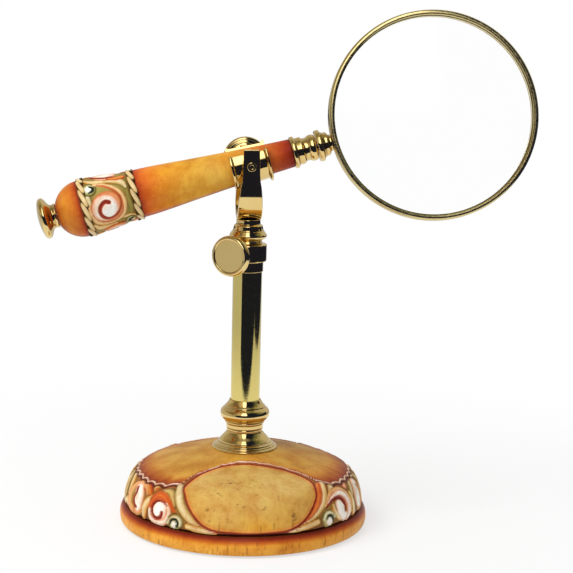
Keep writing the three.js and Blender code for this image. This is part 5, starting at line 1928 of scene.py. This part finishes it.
class MAGNIFIER_OT_stage(bpy.types.Operator):
    """Sets the camera, the lights, the room and the pale floor"""

    bl_idname = "magnifier.stage"
    bl_label = "Stage"

    def execute(self, context):
        scene = context.scene
        settings = scene.stage_settings
        scene.view_settings.view_transform = "Standard"
        self.camera(scene, settings)
        self.floor()
        self.room(scene, settings)
        self.key(scene, settings)
        return {"FINISHED"}

    def camera(self, scene, settings):
        """The camera, turned by its yaw, its pitch and its roll"""
        yaw, pitch, roll = settings.camera_yaw, settings.camera_pitch, settings.camera_roll
        look = Vector((math.sin(yaw) * math.cos(pitch), math.cos(yaw) * math.cos(pitch), -math.sin(pitch)))
        right = Vector((math.cos(yaw), -math.sin(yaw), 0))
        up = right.cross(look)
        level = math.cos(roll) * right + math.sin(roll) * up
        upright = math.cos(roll) * up - math.sin(roll) * right
        turn = Matrix((level, upright, -look)).transposed().to_4x4()
        data = bpy.data.cameras.new("photo_camera")
        data.sensor_width = 36
        data.lens = settings.lens
        data.clip_start = 0.01
        camera = bpy.data.objects.new("photo_camera", data)
        camera.matrix_world = Matrix.Translation(Vector(settings.camera_place)) @ turn
        scene.collection.objects.link(camera)
        scene.camera = camera

    def floor(self):
        """A white sheet that keeps the object's shadow and goes over into the background"""
        shader = Shader("white sheet")
        place = shader.add("ShaderNodeTexCoord").outputs["Object"]
        grain = shader.noise(place, 900, 3)
        paper = shader.ramp(grain, [(0.3, (0.93, 0.93, 0.925, 1)), (0.7, (0.97, 0.97, 0.965, 1))])
        diffuse = shader.add("ShaderNodeBsdfDiffuse", {"Color": paper})
        path = shader.add("ShaderNodeLightPath").outputs
        glossy, through = path["Is Glossy Ray"], path["Is Transmission Ray"]
        seen = shader.math("MAXIMUM", path["Is Camera Ray"], through)
        either = shader.math("MAXIMUM", seen, glossy)
        far = shader.add("ShaderNodeVectorMath", {0: place}, operation="LENGTH").outputs["Value"]
        away = shader.spread(far, 0.1, 0.34, 0.62, 1.0)
        mirrored = shader.spread(far, 0.26, 0.5, 0.95, 0.6)
        bounced = shader.math("MULTIPLY", glossy, shader.spread(through, 0, 1, 1, 0))
        level = shader.mixed(bounced, (1, 1, 1, 1), mirrored)
        glow = shader.add("ShaderNodeEmission", {"Color": level})
        share = shader.math("MULTIPLY", either, away)
        inputs = {0: share, 1: diffuse.outputs[0], 2: glow.outputs[0]}
        blend = shader.add("ShaderNodeMixShader", inputs)
        shader.tree.links.new(blend.outputs[0], shader.output.inputs["Surface"])
        shader.tree.nodes.remove(shader.surface)
        sheet = mesh_object("floor_sheet", SHEET, [(0, 1, 2, 3, 4)], shader.material, False)

    def room(self, scene, settings):
        """A pale room, dark on the camera's side but for a window, which polished metal mirrors"""
        world = bpy.data.worlds.new("pale room")
        scene.world = world
        world.use_nodes = True
        world.node_tree.nodes.clear()
        shader = ShaderTree(world.node_tree)
        view = shader.add("ShaderNodeTexCoord").outputs["Generated"]
        x, y, z = shader.add("ShaderNodeSeparateXYZ", {0: view}).outputs
        turned = shader.math("ADD", shader.math("ARCTAN2", y, x), -CAMERA_SIDE + math.tau + math.pi)
        around = shader.math("DIVIDE", shader.math("MODULO", turned, math.tau), math.tau)

        def band(stops):
            """Colours on the way round"""
            return shader.ramp(around, [(0.5 + a / 360, (*c, 1)) for a, c in stops])

        side = shader.mixed(shader.spread(z, 0.30, 0.42, 0, 1), band(LOW_WALLS), band(HIGH_WALLS))
        walls = shader.mixed(shader.spread(z, 0.90, 0.96, 0, 1), side, band(CEILING))
        mirrored = shader.mixed(shader.spread(z, -0.03, 0.0, 0, 1), (*NIGHT, 1), walls)
        path = shader.add("ShaderNodeLightPath").outputs
        lit = shader.mixed(path["Is Glossy Ray"], [settings.room_light] * 3 + [1], mirrored)
        seen = shader.math("MAXIMUM", path["Is Camera Ray"], path["Is Transmission Ray"])
        background = shader.add("ShaderNodeBackground", {"Color": shader.mixed(seen, lit, (1, 1, 1, 1))})
        shader.add("ShaderNodeOutputWorld", {"Surface": background.outputs[0]})

    def key(self, scene, settings):
        """A large soft light above and to the left"""
        data = bpy.data.lights.new("key_softbox", "AREA")
        data.shape = "RECTANGLE"
        data.size, data.size_y = LAMP_SIZE
        data.energy = settings.key_power
        lamp = bpy.data.objects.new("key_softbox", data)
        aim = Vector(LAMP_AIM) - Vector(LAMP_PLACE)
        turn = aim.to_track_quat("-Z", "Y").to_matrix().to_4x4()
        lamp.matrix_world = Matrix.Translation(LAMP_PLACE) @ turn
        lamp.visible_glossy = False
        lamp.visible_camera = False
        scene.collection.objects.link(lamp)


class MAGNIFIER_PT_panel(bpy.types.Panel):
    """Lists the pieces of the stand magnifier and the stage"""

    bl_label = "Stand Magnifier"
    bl_idname = "MAGNIFIER_PT_panel"
    bl_space_type = "VIEW_3D"
    bl_region_type = "UI"
    bl_category = "Magnifier"

    def draw(self, context):
        layout = self.layout
        for operator in OPERATORS:
            layout.operator(operator.bl_idname)
        for name, group in SETTINGS.items():
            box = layout.box()
            box.label(text=group.__doc__)
            for key in group.__annotations__:
                box.prop(getattr(context.scene, name), key)


SETTINGS = {
    "brass_settings": BrassSettings,
    "base_settings": BaseSettings,
    "handle_settings": HandleSettings,
    "fork_settings": ForkSettings,
    "stage_settings": StageSettings,
}
OPERATORS = (
    MAGNIFIER_OT_stage,
    MAGNIFIER_OT_base,
    MAGNIFIER_OT_column,
    MAGNIFIER_OT_thumbscrew,
    MAGNIFIER_OT_neck,
    MAGNIFIER_OT_fork,
    MAGNIFIER_OT_pivot,
    MAGNIFIER_OT_clip,
    MAGNIFIER_OT_handle,
    MAGNIFIER_OT_fittings,
    MAGNIFIER_OT_lens,
    MAGNIFIER_OT_hardware,
)
CLASSES = (*SETTINGS.values(), *OPERATORS, MAGNIFIER_PT_panel)


def register():
    for item in CLASSES:
        bpy.utils.register_class(item)
    for name, group in SETTINGS.items():
        setattr(bpy.types.Scene, name, PointerProperty(type=group))


def unregister():
    for name in SETTINGS:
        delattr(bpy.types.Scene, name)
    for item in reversed(CLASSES):
        bpy.utils.unregister_class(item)


def main():
    register()
    bpy.ops.magnifier.stage()
    bpy.ops.magnifier.base()
    bpy.ops.magnifier.column()
    bpy.ops.magnifier.thumbscrew()
    bpy.ops.magnifier.neck()
    bpy.ops.magnifier.fork()
    bpy.ops.magnifier.pivot()
    bpy.ops.magnifier.clip()
    bpy.ops.magnifier.handle()
    bpy.ops.magnifier.fittings()
    bpy.ops.magnifier.lens()
    bpy.ops.magnifier.hardware()


if __name__ == "__main__":
    main()
